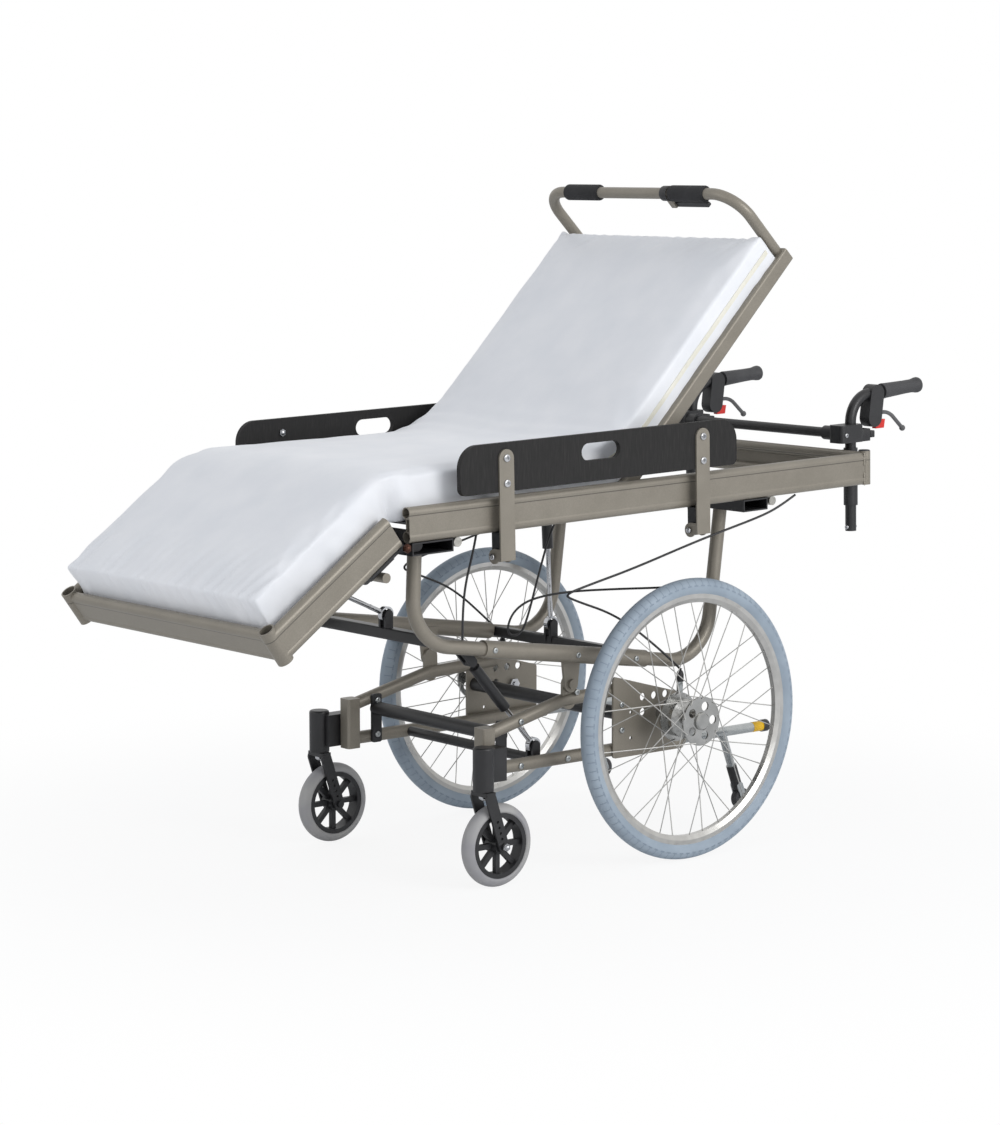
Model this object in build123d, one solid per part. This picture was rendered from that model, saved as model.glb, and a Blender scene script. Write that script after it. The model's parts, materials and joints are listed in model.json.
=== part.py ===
from build123d import *
from math import atan2, cos, degrees, radians, sin, tan
import os

# Reclining wheelchair with a bed-like frame, in millimetres, +Z up. The foot end points to -X and the
# push handles to +X. Sizes are given from the rear axle on the floor, and the finished model is moved
# along X at the end so that its origin lies under the middle of its box.

# Angles of the sections above the level, as they stand
BED_TILT = 1.4
BACK_ANGLE = 45.5
LEG_ANGLE = 35.5

# Clearances
RUN_GAP = 0.06        # round running fit, on the radius
BRAKE_GAP = 3.2       # between drum and anchor plate, past the spokes
GAP = 0.4             # between parts that move past each other
SEAT_GAP = 0.3        # between a soft part and what it lies on
WELD_GAP = 0.1        # left for the weld at a tube's end

# Rear wheels
WHEEL_D = 610.0
WHEEL_Y = 345.0
TYRE_W = 38.0
TYRE_DEPTH = 33.0
RIM_W = 24.0
RIM_DEPTH = 19.0
RIM_WALL = 2.5
SPOKES = 36
SPOKE_D = 2.4
FLANGE_D = 106.0
FLANGE_T = 4.0
FLANGE_SPREAD = 72.0
HUB_BODY_D = 44.0
DRUM_D = 84.0
DRUM_DEPTH = 24.0
DRUM_WALL = 4.0
HUB_WINDOWS = 5
HUB_WINDOW_D = 20.0
HUB_WINDOW_PCD = 66.0
CAP_D = 38.0
CAP_T = 7.0
AXLE_D = 12.0

# Casters
CASTER_D = 176.0
CASTER_W = 36.0
CASTER_TYRE_T = 19.0
CASTER_X = -523.0
CASTER_Y = 284.0
CASTER_TRAIL = 34.0
CASTER_SPOKES = 8
CASTER_HUB_D = 34.0
CASTER_SPOKE_W = 11.0
CASTER_AXLE_D = 8.0
FORK_LEG_W = 26.0
FORK_LEG_T = 5.0
FORK_CROWN_T = 9.0
FORK_CLEAR = 4.0
FORK_TOP_Z = 205.0
FORK_HOLES = 4
FORK_HOLE_D = 6.0
FORK_HOLE_PITCH = 13.0
STEM_D = 12.0
HOUSING_D = 44.0
HOUSING_TOP_Z = 298.0

# Chassis
TUBE_D = 28.0
FRAME_Y = 232.0
UPPER_FRONT_Z = 309.0
UPPER_REAR_Z = 368.0
UPPER_BEND_X = -262.0
UPPER_END_X = -70.0
LOWER_END_X = 84.0
LOWER_Z = 236.0
POST_X = -477.0
POST_SIZE = 34.0
POST_TOP_Z = 326.0
POST_FOOT_Z = 216.0
TUBE_BEND = 90.0
PLATE_T = 5.0
PLATE_FRONT_X = -135.0
PLATE_REAR_X = 72.0
PLATE_TOP_Z = 399.0
PLATE_TAIL_Z = 342.0
PLATE_FOOT_Z = 220.0
PLATE_WINDOW_D = 17.0
PLATE_WINDOW_PITCH = 33.0
PLATE_HOLE_D = 8.2
PLATE_HOLE_PITCH = 56.0
PLATE_HOLE_X = -84.0
PLATE_HOLE_Z = 288.0
CROSS_D = 30.0
CROSS_FRONT_X = -418.0
CROSS_FRONT_Z = 300.0
CROSS_PLATE_W = 26.0
CROSS_PLATE_T = 6.0
CROSS_PLATE_H = 108.0
CROSS_PLATE_DROP = 22.0
CROSS_REAR_X = -112.0
CROSS_REAR_Z = 316.0
ANCHOR_X = -318.0
ANCHOR_D = 22.0
NUT_AF = 24.0
NUT_T = 9.0
BRAKE_PLATE_D = 74.0
BRAKE_PLATE_T = 5.0
BRAKE_ARM_L = 34.0
BRAKE_ARM_W = 14.0
BRAKE_ARM_X = 12.0

# Anti-tippers
TIP_D = 22.0
TIP_END_X = 342.0
TIP_LEG_X = 205.0
TIP_LEG_LEAN = 21.0
TIP_LEG_L = 168.0
TIP_ROLLER_D = 46.0
TIP_ROLLER_W = 18.0
TIP_SOCKET_D = 34.0
TIP_SOCKET_L = 30.0
TIP_CAP_L = 14.0

# Bed frame
RAIL_LEN = 1312.0
RAIL_H = 72.0
RAIL_TUBE_D = 24.0
RAIL_WALL = 2.0
RAIL_WEB = 12.0
BED_HALF = 370.0
BED_FRONT_X = -780.0
BED_MID_Z = 783.0
CORNER_D = 27.0
BAR_D = 20.0
BAR_US = (130.0, 1010.0)
DECK_T = 4.0
DECK_W = 4.0
BEAM_H = 26.0
BEAM_FRONT_L = 104.0
BEAM_REAR_L = 72.0
BEAM_FRONT_U = 8.0
BEAM_REAR_U = 915.0

# Carrier tubes under the bed
CARRIER_Y = 262.0
CARRIER_D = 30.0
SLEEVE_D = 37.0
CARRIER_BEND = 105.0
CARRIER_FRONT = (-692.0, 525.0)
CARRIER_REAR = (122.0, 406.0)
CARRIER_TOP_FRONT_X = -684.0
CARRIER_TOP_REAR_X = 165.0
SLEEVE_FROM_X = -508.0
SLEEVE_TO_X = -57.0
TILT_X = -250.0
TILT_Z = 395.0
TILT_PIN_D = 12.0
TILT_LUG_T = 7.0
TILT_LUG_W = 36.0
TILT_PLATE_W = 52.0
CARRIER_BAR_T = 24.0
FRONT_BAR_X = (-570.0, -512.0)
REAR_BAR_X = (-54.0, -10.0)

# Back section, from its hinge
HIP_U = 628.0
HIP_W = 16.0
BACK_LEN = 656.0
BACK_INSET = 32.0      # from the rails' outer face
BACK_RAIL_W = 20.0
BACK_RAIL_H = 34.0
BACK_RAIL_N = 18.0
BACK_FRONT = -12.0
HIP_PIN_D = 12.0
HIP_LUG_T = 6.0
PUSH_D = 25.0
PUSH_REACH = 212.0
PUSH_BEND = 70.0
PUSH_INSET = 14.0
FOAM_D = 36.0
FOAM_L = 112.0
FOAM_MID_Y = 172.0
LEVER_L = 104.0
LEVER_T = 7.0
LEVER_DROP = 32.0
LEVER_CHEEK_T = 4.0
LEVER_PIVOT_Y = -104.0
BACK_DECK_N = 8.0

# Leg section, from the knee bolt
KNEE_U = -8.0
KNEE_DROP = 8.0
KNEE_PIN_D = 12.0
LEG_LEN = 362.0
LEG_GAP = 4.0
FOOT_POST_D = 34.0
FOOT_POST_WALL = 3.0
HINGE_PLATE_T = 6.0
HINGE_PLATE_L = 96.0
HINGE_PLATE_W = 30.0
HINGE_INSET = 26.0

# Mattress
PAD_SIDE_GAP = 5.0     # from the rails' inner face
PAD_T = 86.0
PAD_CROWN = 9.0
PAD_TUCK = 12.0
PAD_END_DROP = 8.0
HIP_BEVEL = 36.0
HIP_CLEAR = 20.0

# Side guards
GUARD_L = 758.0
GUARD_H = 99.0
GUARD_T = 12.0
GUARD_LEAD_U = 116.0
GUARD_LIFT = 12.0
GUARD_TOP_R = 46.0
GUARD_FOOT_R = 14.0
GUARD_SLOT_L = 106.0
GUARD_SLOT_H = 36.0
GUARD_SLOT_AT = 372.0
ARM_W = 38.0
ARM_T = 4.0
ARM_FLANGE = 30.0
ARM_US = (232.0, 772.0)
ARM_GAP = 6.0
ARM_FOOT_W = -92.0
EAR_R = 15.0
EAR_PIN_D = 8.0
EAR_W = -84.0
EAR_INSET = 2.0
ARM_TOP_W = 134.0
SOCKET_L = 26.0

# Push handles, in the bed frame's own directions
HANDLE_U = 1354.0
HANDLE_Y = 261.0
HANDLE_D = 25.0
HANDLE_FOOT_W = -155.0
HANDLE_TOP_W = 150.0
HANDLE_END_U = 1576.0
HANDLE_END_W = 162.0
HANDLE_BEND = 62.0
SOCKET_D = 32.0
SOCKET_FOOT_W = -96.0
SOCKET_TOP_W = 34.0
GRIP_D = 35.0
GRIP_L = 122.0
CLAMP_W = 68.0
CLAMP_H = 40.0
CLAMP_L = 104.0
CLAMP_T = 44.0
CROSSBAR_U = 1326.0
LEVER_BOX_LEAD = 66.0  # from the upright to the lever housing
LEVER_BOX_D = 42.0
LEVER_AT = 12.0
LEVER_ROD_D = 9.0
LEVER_TIP_D = 14.0
LEVER_CURL = 40.0
SLOT_REACH = 60.0
LEVER_BOX_W = 106.0
BRAKE_LEVER_L = 92.0
BRAKE_PIN_D = 6.0
TRIGGER_W = 12.0
TRIGGER_L = 30.0
TRIGGER_TOP = 14.0
TRIGGER_LOW = 34.0
LEVER_BOX_T = 30.0
LEVER_BOSS_T = 10.0
LEVER_BOSS_R = 9.0

# Gas springs: the cylinder hangs on its upper pin, the rod reaches the lower pin
CYLINDER_D = 24.0
ROD_D = 10.0
SPRING_PIN_D = 8.0
SPRING_EYE_D = 20.0
SPRING_EYE_T = 12.0
LUG_T = 6.0
OPEN_PIVOT_GAP = 8.5
OPEN_EYE_WALL = 4.0
ROD_HELD = 62.0
SHOULDER_AT = 18.0     # from the upper eye to the cylinder
CYLINDER_END_T = 12.0
SPRING_NECK_L = 48.0
NECK_LAP = 8.0
SPRING_NECK_D = 11.0
TILT_SPRING_Y = -200.0
BACK_SPRING_Y = 60.0
LEG_SPRING_Y = 0.0
TILT_SPRING = ((-490.0, 462.0), (-318.0, 266.0))
BACK_SPRING_SEAT = (85.0, -38.0)
BACK_SPRING_FOOT = (-45.0, 470.0)
LEG_SPRING_SEAT = (-64.0, -50.0)
LEG_SPRING_FOOT = (-556.0, 546.0)

# Cables: the points that their curves are drawn to
CABLE_D = 5.0
BRAKE_CABLE = [(300, -358, 769.9), (262, -352, 748), (215, -342, 728), (120, -318, 700), (40, -300, 676),
               (-120, -296, 636), (-240, -294, 612), (-300, -280, 594), (-262, -262, 578), (-149, -280, 536),
               (-36, -294, 452), (20, -296, 404)]
CARRIER_CABLE = [(-516, -262, 788.6), (-518, -262, 760), (-532, -262, 700), (-553, -262, 635), (-560, -262, 570),
                 (-560, -262, 521.4)]
SPRING_CABLE = [(134.6, 15, 756), (60, 15, 757), (-30, 15, 748), (-80, 15, 700), (-124, 15, 579), (-150, 15, 500),
                (-172, 15, 460), (-212, 15, 466), (-200, 15, 508), (-160, 15, 534), (-101, 12, 544), (-26, 0, 548),
                (54, -60, 552), (95, -130, 558), (124, -210, 568), (140, -246.4, 574)]

# Derived places
WHEEL_R = WHEEL_D / 2
FLANGE_OUT = WHEEL_Y + FLANGE_SPREAD / 2
FLANGE_IN = WHEEL_Y - FLANGE_SPREAD / 2
DRUM_END = FLANGE_IN - FLANGE_T / 2
PLATE_IN = FRAME_Y + TUBE_D / 2
PLATE_OUT = PLATE_IN + PLATE_T
RAIL_MID_Y = BED_HALF - RAIL_TUBE_D / 2
RAIL_IN_Y = BED_HALF - RAIL_TUBE_D
BACK_HALF = BED_HALF - BACK_INSET
PAD_HALF = RAIL_IN_Y - PAD_SIDE_GAP
EAR_Y = BED_HALF - EAR_INSET
LEVER_BOX_U = HANDLE_U + LEVER_BOX_LEAD
RAIL_LOW = -RAIL_H / 2
CORNER_U = RAIL_LEN - CORNER_D / 2
CORNER_Y = BED_HALF - CORNER_D / 2
GUARD_IN = BED_HALF + ARM_GAP
GUARD_OUT = GUARD_IN + GUARD_T
BEAM_LOW = RAIL_LOW - BEAM_H
KNEE_W = RAIL_LOW - KNEE_DROP
LEG_DECK_N = DECK_W - KNEE_W
BED = Pos(BED_FRONT_X, 0, BED_MID_Z) * Rot(0, -BED_TILT, 0)


def bed_point(u, w):
    """Place of a bed-frame point in the side view, as (x, z)."""
    spot = BED.position + Vector(u, 0, w).rotate(Axis.Y, -BED_TILT)
    return spot.X, spot.Z


KNEE = bed_point(KNEE_U, KNEE_W)
HIP = bed_point(HIP_U, HIP_W)
BACK = Pos(HIP[0], 0, HIP[1]) * Rot(0, -BACK_ANGLE, 0)
LEG = Pos(KNEE[0], 0, KNEE[1]) * Rot(0, -LEG_ANGLE, 0)


def section_point(place, angle, s, n):
    """Place of a point of a turned section in the side view, as (x, z)."""
    spot = place.position + Vector(s, 0, n).rotate(Axis.Y, -angle)
    return spot.X, spot.Z


BACK_SPRING = (section_point(BACK, BACK_ANGLE, *BACK_SPRING_SEAT), BACK_SPRING_FOOT)
LEG_SPRING = (section_point(LEG, LEG_ANGLE, *LEG_SPRING_SEAT), LEG_SPRING_FOOT)


def bar(start, end, d):
    """Round bar of diameter d between two points."""
    a, b = Vector(start), Vector(end)
    return extrude(Plane(a, z_dir=b - a) * Circle(d / 2), (b - a).length)


def bent_bar(points, bend, d):
    """Round bar along straight runs joined by bends."""
    path = FilletPolyline(*points, radius=bend)
    return sweep(Plane(path @ 0, z_dir=path % 0) * Circle(d / 2), path=path)


def block(low, high):
    """Block between two opposite corners."""
    size = [b - a for a, b in zip(low, high)]
    return Pos(*low) * Box(*size, align=(Align.MIN, Align.MIN, Align.MIN))


def side_plate(sketch, y_from, y_to):
    """Sketch in side view, given as X and Z, made solid between two places across the object."""
    flat = Plane((0, y_from, 0), x_dir=(1, 0, 0), z_dir=(0, -1, 0)) * sketch
    return extrude(flat, y_from - y_to)


def across(x, z, d, y_from, y_to):
    """Round bar across the object."""
    return bar((x, y_from, z), (x, y_to, z), d)


def pair(solid):
    """A piece of the left side (-Y) and its mirror image on the right."""
    return [solid, mirror(solid, about=Plane.XZ)]


def turned(points):
    """Sketch from (radius, along) points, made solid round the cross axis."""
    return revolve(make_face(Polyline(*points, close=True)), Axis.Y)


# Wheels, made at the origin with the outer side to -Y
def tyre(r, width, depth, base):
    """Round-crowned tyre of outer radius r on a base of the given width."""
    foot = r - depth
    wide = r - width * 0.42
    bulge = (foot + wide) / 2
    side = base / 2 + (width - base) * 0.36
    profile = [
        ThreePointArc((foot, -base / 2), (bulge, -side), (wide, -width / 2)),
        ThreePointArc((wide, -width / 2), (r, 0), (wide, width / 2)),
        ThreePointArc((wide, width / 2), (bulge, side), (foot, base / 2)),
        Line((foot, base / 2), (foot, -base / 2)),
    ]
    return revolve(make_face(profile), Axis.Y)


def rim():
    """Box-section rim with sloped inner shoulders."""
    top = WHEEL_R - TYRE_DEPTH
    low = top - RIM_DEPTH + RIM_WALL
    half = RIM_W / 2
    outer = [(top, -half), (top, half), (top - RIM_DEPTH / 2, half), (low - RIM_WALL, half / 2),
             (low - RIM_WALL, -half / 2), (top - RIM_DEPTH / 2, -half)]
    return turned(outer)


def spoke(index):
    """One spoke, laid on its flange and crossing the others on the way to the rim."""
    to_rim = 360 / SPOKES * index
    lean = 60 if index // 2 % 2 else -60
    flange = -1 if index % 2 else 1
    face = (FLANGE_T + SPOKE_D) / 2 * (1 if lean > 0 else -1)
    r_hub = FLANGE_D / 2 - 4
    r_rim = WHEEL_R - TYRE_DEPTH - RIM_DEPTH - SEAT_GAP / 3
    hub_end = Vector(r_hub, 0, 0).rotate(Axis.Y, to_rim + lean)
    rim_end = Vector(r_rim, 0, 0).rotate(Axis.Y, to_rim)
    hub_end.Y = flange * FLANGE_SPREAD / 2 + face
    rim_end.Y = flange * RIM_W / 8
    plane = Plane(hub_end, z_dir=rim_end - hub_end)
    return extrude(plane * RegularPolygon(SPOKE_D / 2, 6), (rim_end - hub_end).length)


def hub():
    """Hub with a windowed outer flange, a neck, a brake drum and a centre button."""
    out = -FLANGE_SPREAD / 2
    inner = FLANGE_SPREAD / 2
    half = FLANGE_T / 2
    bore = AXLE_D / 2 + RUN_GAP
    drum_from = inner - DRUM_DEPTH
    profile = [
        (0, out - half - CAP_T), (CAP_D / 2 - 3, out - half - CAP_T), (CAP_D / 2, out - half - CAP_T + 3),
        (CAP_D / 2, out - half), (FLANGE_D / 2, out - half), (FLANGE_D / 2, out + half),
        (HUB_BODY_D / 2, out + half), (HUB_BODY_D / 2, drum_from - 16), (DRUM_D / 2, drum_from),
        (DRUM_D / 2, inner - half), (FLANGE_D / 2, inner - half), (FLANGE_D / 2, inner + half),
        (DRUM_D / 2 - DRUM_WALL, inner + half), (DRUM_D / 2 - DRUM_WALL, drum_from + DRUM_WALL),
        (bore, drum_from + DRUM_WALL), (bore, out - half), (0, out - half),
    ]
    body = turned(profile)
    for i in range(HUB_WINDOWS):
        spot = Vector(HUB_WINDOW_PCD / 2, 0, 0).rotate(Axis.Y, 360 / HUB_WINDOWS * i)
        body -= bar((spot.X, out - half - 1, spot.Z), (spot.X, out + half + 1, spot.Z), HUB_WINDOW_D)
    return body


def caster_core():
    """Spoked caster core with a bore for its axle bolt."""
    rim_r = CASTER_D / 2 - CASTER_TYRE_T
    ring = Circle(rim_r) - Circle(rim_r - 10)
    body = extrude(Plane.XZ * ring, CASTER_W * 0.42, both=True)
    body += extrude(Plane.XZ * Circle(CASTER_HUB_D / 2), CASTER_W / 2, both=True)
    for i in range(CASTER_SPOKES):
        reach = Pos(rim_r / 2, 0) * Rectangle(rim_r - 8, CASTER_SPOKE_W)
        body += extrude(Plane.XZ * (Rot(0, 0, 360 / CASTER_SPOKES * i) * reach), CASTER_SPOKE_W / 2, both=True)
    return body - across(0, 0, CASTER_AXLE_D + 2 * RUN_GAP, -CASTER_W, CASTER_W)


def caster_fork():
    """Swivel fork with two leaning legs, crown, stem and axle bolt, made at the left caster's place."""
    leg_in = CASTER_W / 2 + FORK_CLEAR
    leg_out = leg_in + FORK_LEG_T
    axle = (CASTER_TRAIL, CASTER_D / 2)
    top = (0, FORK_TOP_Z - FORK_LEG_W / 2)
    run = Vector(axle[0] - top[0], axle[1] - top[1])
    lean = degrees(atan2(run.Y, run.X))
    middle = Pos((axle[0] + top[0]) / 2, (axle[1] + top[1]) / 2)
    outline = middle * Rot(0, 0, lean) * SlotCenterToCenter(run.length, FORK_LEG_W)
    step = run.normalized() * FORK_HOLE_PITCH
    for i in range(FORK_HOLES):
        outline -= Pos(axle[0] - step.X * (i + 1.4), axle[1] - step.Y * (i + 1.4)) * Circle(FORK_HOLE_D / 2)
    body = side_plate(outline, -leg_out, -leg_in) + side_plate(outline, leg_in, leg_out)
    crown = Pos(0, 0, FORK_TOP_Z - FORK_CROWN_T) * extrude(RectangleRounded(FORK_LEG_W, 2 * leg_out, 4), FORK_CROWN_T)
    body += crown
    body += bar((0, 0, FORK_TOP_Z - FORK_CROWN_T), (0, 0, HOUSING_TOP_Z - 12), STEM_D)
    body += bar((0, 0, FORK_TOP_Z - 2), (0, 0, FORK_TOP_Z + GAP), STEM_D + 10)
    body += across(axle[0], axle[1], CASTER_AXLE_D, -leg_out - 6, leg_out + 6)
    for y in (-leg_out - 6, leg_out):
        body += across(axle[0], axle[1], CASTER_AXLE_D + 6, y, y + 6)
    return Pos(CASTER_X, -CASTER_Y, 0) * body


# Chassis
def slot_plate(start, end, width, y_from, y_to):
    """Round-ended flat link between two side-view points."""
    a, b = Vector(*start), Vector(*end)
    run = b - a
    lean = degrees(atan2(run.Y, run.X))
    middle = (a + b) / 2
    outline = Pos(middle.X, middle.Y) * Rot(0, 0, lean) * SlotCenterToCenter(run.length, width)
    return side_plate(outline, y_from, y_to)


def side_frame():
    """Left chassis side: bent upper tube, straight lower tube, caster post and tilt lug."""
    y = -FRAME_Y
    upper = [(POST_X, y, UPPER_FRONT_Z), (UPPER_BEND_X, y, UPPER_REAR_Z - 8), (UPPER_END_X, y, UPPER_REAR_Z)]
    body = bent_bar(upper, TUBE_BEND, TUBE_D)
    body += bar((POST_X, y, LOWER_Z), (LOWER_END_X, y, LOWER_Z), TUBE_D)
    post = Pos(POST_X, y, POST_FOOT_Z) * extrude(RectangleRounded(POST_SIZE, POST_SIZE, 6), POST_TOP_Z - POST_FOOT_Z)
    body += post
    lug_in = -FRAME_Y
    lug_out = lug_in - TILT_LUG_T
    body += slot_plate((TILT_X, UPPER_REAR_Z - 10), (TILT_X, TILT_Z), TILT_LUG_W, lug_out, lug_in)
    head = lug_out - GAP - TILT_LUG_T - GAP
    body += across(TILT_X, TILT_Z, TILT_PIN_D, lug_in, head)
    body += across(TILT_X, TILT_Z, TILT_PIN_D + 8, head, head - 5)
    return body


def caster_housing():
    """Left caster housing: swivel tube on a block that bolts to the post."""
    foot = FORK_TOP_Z + 2 * GAP
    face = FRAME_Y + POST_SIZE / 2
    body = bar((CASTER_X, -CASTER_Y, foot), (CASTER_X, -CASTER_Y, HOUSING_TOP_Z), HOUSING_D)
    body = fillet(body.edges().group_by(Axis.Z)[-1], 5)
    body += block((CASTER_X, -CASTER_Y, foot + 14), (POST_X + POST_SIZE / 2, -face, HOUSING_TOP_Z - 8))
    return body - bar((CASTER_X, -CASTER_Y, foot - 1), (CASTER_X, -CASTER_Y, HOUSING_TOP_Z - 9), STEM_D + 2 * RUN_GAP)


def axle_plate():
    """Left axle plate with windows, screw holes and the axle hole."""
    outline = make_face(Polyline((PLATE_FRONT_X, PLATE_FOOT_Z), (PLATE_REAR_X, PLATE_FOOT_Z),
                                 (PLATE_REAR_X, PLATE_TAIL_Z), (PLATE_FRONT_X, PLATE_TOP_Z), close=True))
    outline = fillet(outline.vertices(), 7)
    window = Circle(PLATE_WINDOW_D / 2)
    row_z = WHEEL_R + PLATE_WINDOW_PITCH + 8
    for i in range(3):
        outline -= Pos(-1.5 * PLATE_WINDOW_PITCH + PLATE_WINDOW_PITCH * i, row_z) * window
    outline -= Pos(-1.5 * PLATE_WINDOW_PITCH, row_z - PLATE_WINDOW_PITCH) * window
    for side in (-1, 1):
        outline -= Pos(PLATE_HOLE_X, PLATE_HOLE_Z + side * PLATE_HOLE_PITCH / 2) * Circle(PLATE_HOLE_D / 2)
    outline -= Pos(0, WHEEL_R) * Circle(AXLE_D / 2)
    return side_plate(outline, -PLATE_OUT, -PLATE_IN)


def cross_tubes():
    """Front tube with end plates, rear tube and the bar that anchors the tilt spring."""
    reach = FRAME_Y - TUBE_D / 2
    front = across(CROSS_FRONT_X, CROSS_FRONT_Z, CROSS_D, -reach, reach)
    for y in (-reach, reach - CROSS_PLATE_T):
        outline = RectangleRounded(CROSS_PLATE_W, CROSS_PLATE_H, 5)
        outline = Pos(CROSS_FRONT_X, CROSS_FRONT_Z - CROSS_PLATE_DROP) * outline
        front += side_plate(outline, y, y + CROSS_PLATE_T)
    rear = across(CROSS_REAR_X, CROSS_REAR_Z, CROSS_D, -PLATE_IN, PLATE_IN)
    anchor = across(ANCHOR_X, LOWER_Z, ANCHOR_D, -reach, reach)
    anchor += spring_lugs(TILT_SPRING[1], (ANCHOR_X, LOWER_Z), TILT_SPRING_Y)
    return [front, rear, anchor]


def axle():
    """Left fixed axle with a spacer outside the plate and a nut inside."""
    brake_in = DRUM_END - BRAKE_GAP - BRAKE_PLATE_T
    body = across(0, WHEEL_R, AXLE_D, -(PLATE_IN - NUT_T - 4), -(FLANGE_OUT - 2))
    body += across(0, WHEEL_R, AXLE_D * 2, -PLATE_OUT, -brake_in)
    nut = Pos(0, WHEEL_R) * RegularPolygon(NUT_AF / 2, 6, major_radius=False)
    return body + side_plate(nut, -PLATE_IN, -(PLATE_IN - NUT_T))


def brake_plate():
    """Left brake anchor plate with its shoe ring inside the drum and the actuator arm above."""
    outer = -(DRUM_END - BRAKE_GAP)
    inner = outer + BRAKE_PLATE_T
    outline = Pos(0, WHEEL_R) * Circle(DRUM_D / 2)
    arm_top = WHEEL_R + DRUM_D / 2 + BRAKE_ARM_L
    outline += Pos(BRAKE_ARM_X, (WHEEL_R + arm_top) / 2) * RectangleRounded(BRAKE_ARM_W, arm_top - WHEEL_R, 5)
    outline -= Pos(0, WHEEL_R) * Circle(AXLE_D / 2)
    shoe_r = DRUM_D / 2 - DRUM_WALL - 1
    shoes = Pos(0, WHEEL_R) * (Circle(shoe_r) - Circle(shoe_r - 9))
    return side_plate(outline, outer, inner) + side_plate(shoes, outer - DRUM_DEPTH / 2, outer)


def anti_tipper():
    """Left anti-tipper: tube that plugs onto the lower tube's end, with a leaning leg and roller pin."""
    y = -FRAME_Y
    start = LOWER_END_X + GAP
    body = bar((start, y, LOWER_Z), (TIP_END_X - TIP_CAP_L, y, LOWER_Z), TIP_D)
    body += bar((TIP_END_X - TIP_CAP_L, y, LOWER_Z), (TIP_END_X, y, LOWER_Z), TIP_D + 4)
    foot = Vector(TIP_LEG_L * sin(radians(TIP_LEG_LEAN)), 0, -TIP_LEG_L * cos(radians(TIP_LEG_LEAN)))
    root = Vector(TIP_LEG_X, y, LOWER_Z)
    body += bar(root, root + foot * 0.55, TIP_D - 4)
    body += bar(root + foot * 0.5, root + foot * 0.84, TIP_D)
    spot = root + foot
    for side in (-1, 1):
        cheek = side * (TIP_ROLLER_W / 2 + GAP)
        end = cheek + side * 3
        body += slot_plate((spot.X - foot.X * 0.2, spot.Z - foot.Z * 0.2), (spot.X, spot.Z), 16, y + cheek, y + end)
    bridge = root + foot * 0.8
    body += across(bridge.X, bridge.Z, 14, y - TIP_ROLLER_W / 2 - GAP - 3, y + TIP_ROLLER_W / 2 + GAP + 3)
    return body + across(spot.X, spot.Z, 6, y - TIP_ROLLER_W / 2 - 3, y + TIP_ROLLER_W / 2 + 3)


def tipper_roller():
    """Left anti-tipper roller with a bore for its pin."""
    foot_x = TIP_LEG_X + TIP_LEG_L * sin(radians(TIP_LEG_LEAN))
    foot_z = LOWER_Z - TIP_LEG_L * cos(radians(TIP_LEG_LEAN))
    half = TIP_ROLLER_W / 2
    body = across(foot_x, foot_z, TIP_ROLLER_D, -FRAME_Y - half, -FRAME_Y + half)
    body = fillet(body.edges().filter_by(GeomType.CIRCLE), 4)
    return body - across(foot_x, foot_z, 6 + 2 * RUN_GAP, -FRAME_Y - half, -FRAME_Y + half)


# Gas springs
def spring_lugs(pin, root, y):
    """Two round-ended lugs from a root point to a pin, with the pin across them."""
    inner = SPRING_EYE_T / 2 + GAP
    outer = inner + LUG_T
    body = across(*pin, SPRING_PIN_D, y - outer, y + outer)
    for side in (-1, 1):
        body += slot_plate(root, pin, SPRING_EYE_D, y + side * inner, y + side * outer)
    return body


def gas_spring(ends, y, share):
    """Cylinder on the upper pin, and rod whose lower eye keeps clear of the lower pin all round."""
    top = Vector(ends[0][0], y, ends[0][1])
    foot = Vector(ends[1][0], y, ends[1][1])
    length = (foot - top).length
    run = (foot - top).normalized()
    mouth = top + run * length * share
    half = SPRING_EYE_T / 2
    shoulder = top + run * SHOULDER_AT
    cylinder = bar(shoulder, mouth, CYLINDER_D)
    cylinder += bar(top, shoulder + run * 2, ROD_D)
    cylinder += across(top.X, top.Z, SPRING_EYE_D, y - half, y + half)
    cylinder -= across(top.X, top.Z, SPRING_PIN_D + 2 * RUN_GAP, y - half, y + half)
    cylinder -= bar(shoulder + run * CYLINDER_END_T, mouth, ROD_D + 2 * RUN_GAP)
    eye_bore = SPRING_PIN_D + 2 * OPEN_PIVOT_GAP
    rod = bar(mouth - run * ROD_HELD, foot - run * (SPRING_NECK_L - NECK_LAP), ROD_D)
    rod += bar(foot - run * SPRING_NECK_L, foot - run * (eye_bore / 2 + 1), SPRING_NECK_D)
    rod += across(foot.X, foot.Z, eye_bore + 2 * OPEN_EYE_WALL, y - half, y + half)
    rod -= across(foot.X, foot.Z, eye_bore, y - half, y + half)
    return cylinder, rod


# Bed frame
def rail_profile(mid, outer):
    """Section of a rail: two tubes joined by a hollow web that lies to the outer side."""
    reach = RAIL_H / 2 - RAIL_TUBE_D / 2
    web_mid = mid + outer * (RAIL_TUBE_D / 2 - 1 - RAIL_WEB / 2)
    shape = Pos(web_mid, 0) * Rectangle(RAIL_WEB, 2 * reach)
    for w in (-reach, reach):
        shape += Pos(mid, w) * Circle(RAIL_TUBE_D / 2)
    for w in (-reach, reach):
        shape -= Pos(mid, w) * Circle(RAIL_TUBE_D / 2 - RAIL_WALL)
    pocket = 2 * reach - RAIL_TUBE_D
    return shape - Pos(web_mid, 0) * Rectangle(RAIL_WEB - 2 * RAIL_WALL, pocket)


def corner_post():
    """Upright round post at the left rear corner of the bed frame."""
    return bar((CORNER_U, -CORNER_Y, RAIL_LOW), (CORNER_U, -CORNER_Y, RAIL_H / 2 + 3), CORNER_D)


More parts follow.
